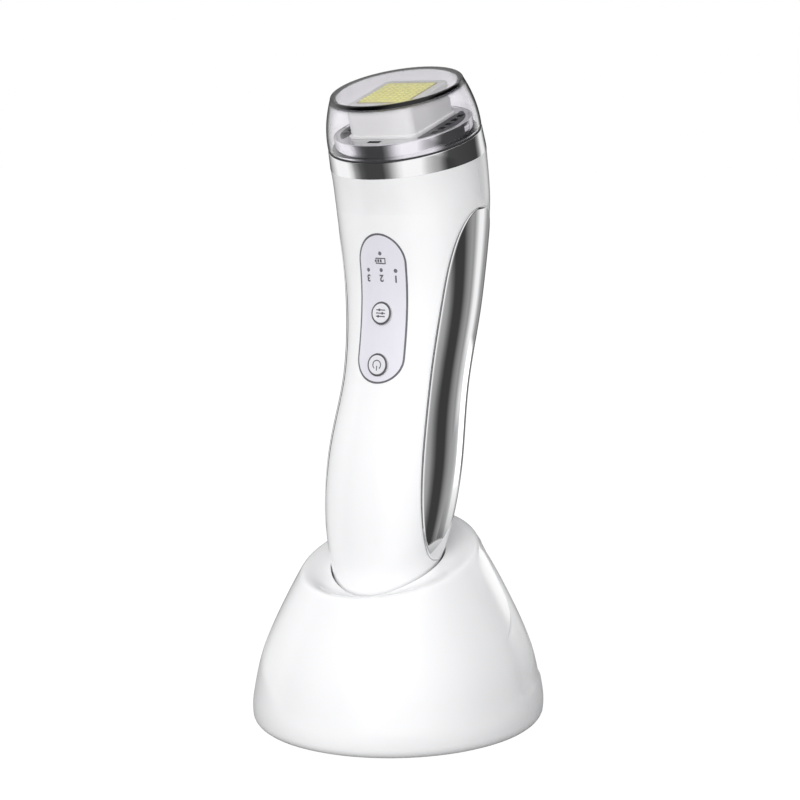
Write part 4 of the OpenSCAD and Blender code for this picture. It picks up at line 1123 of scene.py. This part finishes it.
def camera():
    back = bearing(CAMERA_TURN, CAMERA_PITCH)
    right = Vector((cos(CAMERA_TURN), sin(CAMERA_TURN), 0))
    up = back.cross(right)
    c, s = cos(CAMERA_YAW), sin(CAMERA_YAW)
    back, right = back * c + right * s, right * c - back * s
    data = bpy.data.cameras.new("camera")
    data.sensor_width = SENSOR
    data.lens = SENSOR * FOCAL_PIXELS / FRAME_PIXELS
    data.clip_start, data.clip_end = 0.01, 20
    obj = linked("camera", data)
    turn = Matrix((right, up, back)).transposed().to_4x4()
    place = bearing(CAMERA_TURN, 0) * CAMERA_AWAY
    obj.matrix_world = moved(place.x, place.y, CAMERA_HEIGHT) @ turn
    bpy.context.scene.camera = obj


LAMPS_AIM = 0.09


def lamp(name, turn, rise, distance, size, power):
    """Soft lamp, aimed at the middle of the object."""
    data = bpy.data.lights.new(name, "AREA")
    data.shape, data.size, data.energy = "DISK", size, power
    obj = linked(name, data)
    way = bearing(turn, rise)
    obj.location = Vector((0, 0, LAMPS_AIM)) + way * distance
    obj.rotation_euler = way.to_track_quat("Z", "Y").to_euler()
    obj.visible_glossy = obj.visible_transmission = False


# How bright the surroundings look in reflections: (angle from the camera's side towards +X, brightness).
SURROUND = [
    (-180, 0.02), (-160, 0.03), (-140, 0.55), (-124, 1), (-98, 1), (-90, 0.7), (-84, 0.3), (-74, 0.08),
    (-64, 0.03), (-36, 0.03), (-28, 0.18), (-20, 0.5), (-12, 0.82), (-4, 1), (20, 1), (30, 0.62), (38, 0.45),
    (46, 0.33), (52, 0.14), (58, 0.02), (74, 0.02), (82, 0.2), (90, 0.32), (96, 0.3), (102, 0.6), (108, 0.95),
    (118, 1), (126, 0.6), (134, 0.3), (142, 0.3), (152, 0.15), (160, 0.03), (180, 0.02),
]
# High up, beside the head, from the first of these angles on.
SURROUND_HIGH = [
    (20, 1), (36, 1), (42, 0.75), (48, 0.42), (54, 0.16), (60, 0.04), (112, 0.02), (120, 0.3), (128, 0.95),
    (138, 0.9), (146, 0.3), (154, 0.03), (180, 0.02),
]
HIGH_FROM, HIGH_TO = 0.156, 0.164
# Low down, beside the stand: above the glint's foot only as far as LOW_END.
SURROUND_LOW = [
    (90, 0.32), (102, 0.4), (110, 0.55), (117, 1), (138, 1), (144, 0.7), (152, 0.45), (162, 0.1), (180, 0.02),
]
LOW_TO, LOW_FROM, LOW_END, FOOT_SHARE = 0.088, 0.096, 140, 0.5
# A lit strip among the cards, which the glossy flank beside the stand's crease reflects.
GLINT, GLINT_TURNS = 1.3, (112, 121, 137, 143)
GLINT_FOOT, GLINT_LOW, GLINT_TOP, GLINT_END = 0.04, 0.054, LOW_TO, 0.106
# Pale part high behind the head, which the top of its cap and the face under it reflect.
PALE_ABOVE, PALE_TO, PALE_TURN, PALE = 0.25, 0.27, 148, 0.45
CARDS_R, CARDS_LOW, CARDS_TOP, CARDS_COLUMNS, CARD_GREY = 0.16, 0.002, 0.42, 240, 0.03
CLOSE = 0.001


def card_light(turn, z):
    """Share of the surroundings' light that the cards let through."""
    if z > PALE_TO - CLOSE and abs(turn) > PALE_TURN:
        return PALE
    places, share = SURROUND, 1
    if z > HIGH_FROM + CLOSE and turn > SURROUND_HIGH[0][0]:
        places = SURROUND_HIGH
    elif z < LOW_TO + CLOSE and turn > SURROUND_LOW[0][0] and (turn < LOW_END or z < GLINT_FOOT + CLOSE):
        places, share = SURROUND_LOW, FOOT_SHARE if z < GLINT_FOOT - CLOSE else 1
    k = next(k for k in range(len(places) - 1) if turn <= places[k + 1][0])
    (a, p), (b, q) = places[k : k + 2]
    return share * lerp(p, q, (turn - a) / (b - a))


def card_glint(turn, z):
    """How brightly the lit strip glows."""
    start, full, fading, end = GLINT_TURNS
    if not GLINT_LOW - CLOSE < z < GLINT_TOP + CLOSE:
        return 0.0
    return GLINT * ramp(turn, start, full - start) * smooth((end - turn) / (end - fading))


def surround():
    """Ring of soft dark cards that only shows in reflections."""
    m, nodes, links, _ = new_material("soft dark cards")
    depth = nodes.new("ShaderNodeLightPath").outputs["Glossy Depth"]
    card = nodes.new("ShaderNodeEmission")
    card.inputs["Color"].default_value = (CARD_GREY, CARD_GREY, CARD_GREY, 1)
    opening = nodes.new("ShaderNodeBsdfTransparent")
    direct = combine(nodes, links, "LESS_THAN", depth, 0.5)
    share = combine(nodes, links, "MAXIMUM", attribute(nodes, "light"), direct)
    cards = mixed(nodes, links, share, card.outputs["Emission"], opening.outputs["BSDF"])
    mirrored = combine(nodes, links, "GREATER_THAN", depth, 0.5)
    strength = combine(nodes, links, "MULTIPLY", attribute(nodes, "glint"), mirrored)
    strip = nodes.new("ShaderNodeEmission")
    links.new(strength, strip.inputs["Strength"])
    both = nodes.new("ShaderNodeAddShader")
    links.new(cards, both.inputs[0])
    links.new(strip.outputs["Emission"], both.inputs[1])
    links.new(both.outputs["Shader"], nodes["Material Output"].inputs["Surface"])

    rows = [CARDS_LOW, GLINT_FOOT, GLINT_LOW, LOW_TO, LOW_FROM, GLINT_END]
    rows += [HIGH_FROM, HIGH_TO, PALE_ABOVE, PALE_TO, CARDS_TOP]

    def point(i, j):
        turn = CAMERA_TURN + 360 * j / CARDS_COLUMNS - 180
        return Vector((CARDS_R * sin(turn), -CARDS_R * cos(turn), rows[i]))

    bm = bmesh.new()
    light = bm.verts.layers.float.new("light")
    glint = bm.verts.layers.float.new("glint")
    for v in grid(bm, len(rows), CARDS_COLUMNS + 1, point):
        turn = (math.degrees(math.atan2(v.co.x, -v.co.y)) - CAMERA_TURN + 180) % 360 - 180
        v[light] = card_light(turn, v.co.z)
        v[glint] = card_glint(turn, v.co.z)
    obj = linked("surround", mesh_of(bm, "surround", [m]))
    obj.visible_camera = obj.visible_diffuse = obj.visible_shadow = False


SKY, SEEN_SKY = (0.58, 0.58, 0.59), (1, 1, 1)


def world():
    w = bpy.data.worlds.new("world")
    bpy.context.scene.world = w
    w.use_nodes = True
    nodes, links = w.node_tree.nodes, w.node_tree.links
    sky = nodes["Background"]
    sky.inputs["Strength"].default_value = 1
    path = nodes.new("ShaderNodeLightPath").outputs
    seen = combine(nodes, links, "MAXIMUM", path["Is Camera Ray"], path["Is Glossy Ray"])
    through = combine(nodes, links, "MAXIMUM", seen, path["Is Transmission Ray"])
    links.new(tinted(nodes, links, through, SKY, SEEN_SKY), sky.inputs["Color"])


FLOOR_GREY, FLOOR_GLOW, GLOW_SHARE = 0.42, 1.16, 0.86
# In reflections the floor has a painted shadow under the object and is white further out.
PAINTED_SHADOW_WITHIN, WHITE_FROM = 0.13, 0.2
FLOOR_REACH = 6


def floor():
    m, nodes, links, shader = new_material("white floor")
    shader.inputs["Base Color"].default_value = (FLOOR_GREY, FLOOR_GREY, FLOOR_GREY, 1)
    shader.inputs["Roughness"].default_value = 0.9
    shader.inputs["Specular IOR Level"].default_value = 0.0
    glow = nodes.new("ShaderNodeEmission")
    glow.inputs["Strength"].default_value = FLOOR_GLOW
    path = nodes.new("ShaderNodeLightPath").outputs
    direct = combine(nodes, links, "MAXIMUM", path["Is Camera Ray"], path["Is Transmission Ray"])
    place = nodes.new("ShaderNodeTexCoord")
    reach = nodes.new("ShaderNodeVectorMath")
    reach.operation = "LENGTH"
    links.new(place.outputs["Object"], reach.inputs[0])
    # Painted shadow round the object, seen only in reflections.
    clear_of_painted_shadow = nodes.new("ShaderNodeMapRange")
    clear_of_painted_shadow.inputs["From Min"].default_value = PAINTED_SHADOW_WITHIN
    clear_of_painted_shadow.inputs["From Max"].default_value = WHITE_FROM
    links.new(reach.outputs["Value"], clear_of_painted_shadow.inputs["Value"])
    mirrored = combine(nodes, links, "MULTIPLY", path["Is Glossy Ray"], clear_of_painted_shadow.outputs["Result"])
    seen = combine(nodes, links, "MAXIMUM", direct, mirrored)
    share = combine(nodes, links, "MULTIPLY", seen, GLOW_SHARE)
    surface = mixed(nodes, links, share, shader.outputs["BSDF"], glow.outputs["Emission"])
    links.new(surface, nodes["Material Output"].inputs["Surface"])
    bm = bmesh.new()
    bmesh.ops.create_grid(bm, x_segments=1, y_segments=1, size=FLOOR_REACH)
    linked("floor", mesh_of(bm, "floor", [m]))


camera()
world()
floor()
# Angle, rise, distance, size and power of each lamp.
lamp("key", 12, 22, 1.0, 0.8, 6.9)
lamp("fill", 75, 20, 1.1, 0.8, 1.0)
lamp("top", 10, 80, 0.9, 0.8, 0.4)
lamp("back", CAMERA_TURN + 180, 12, 1.1, 0.8, 3.0)
surround()

bpy.context.scene.view_settings.view_transform = "Standard"
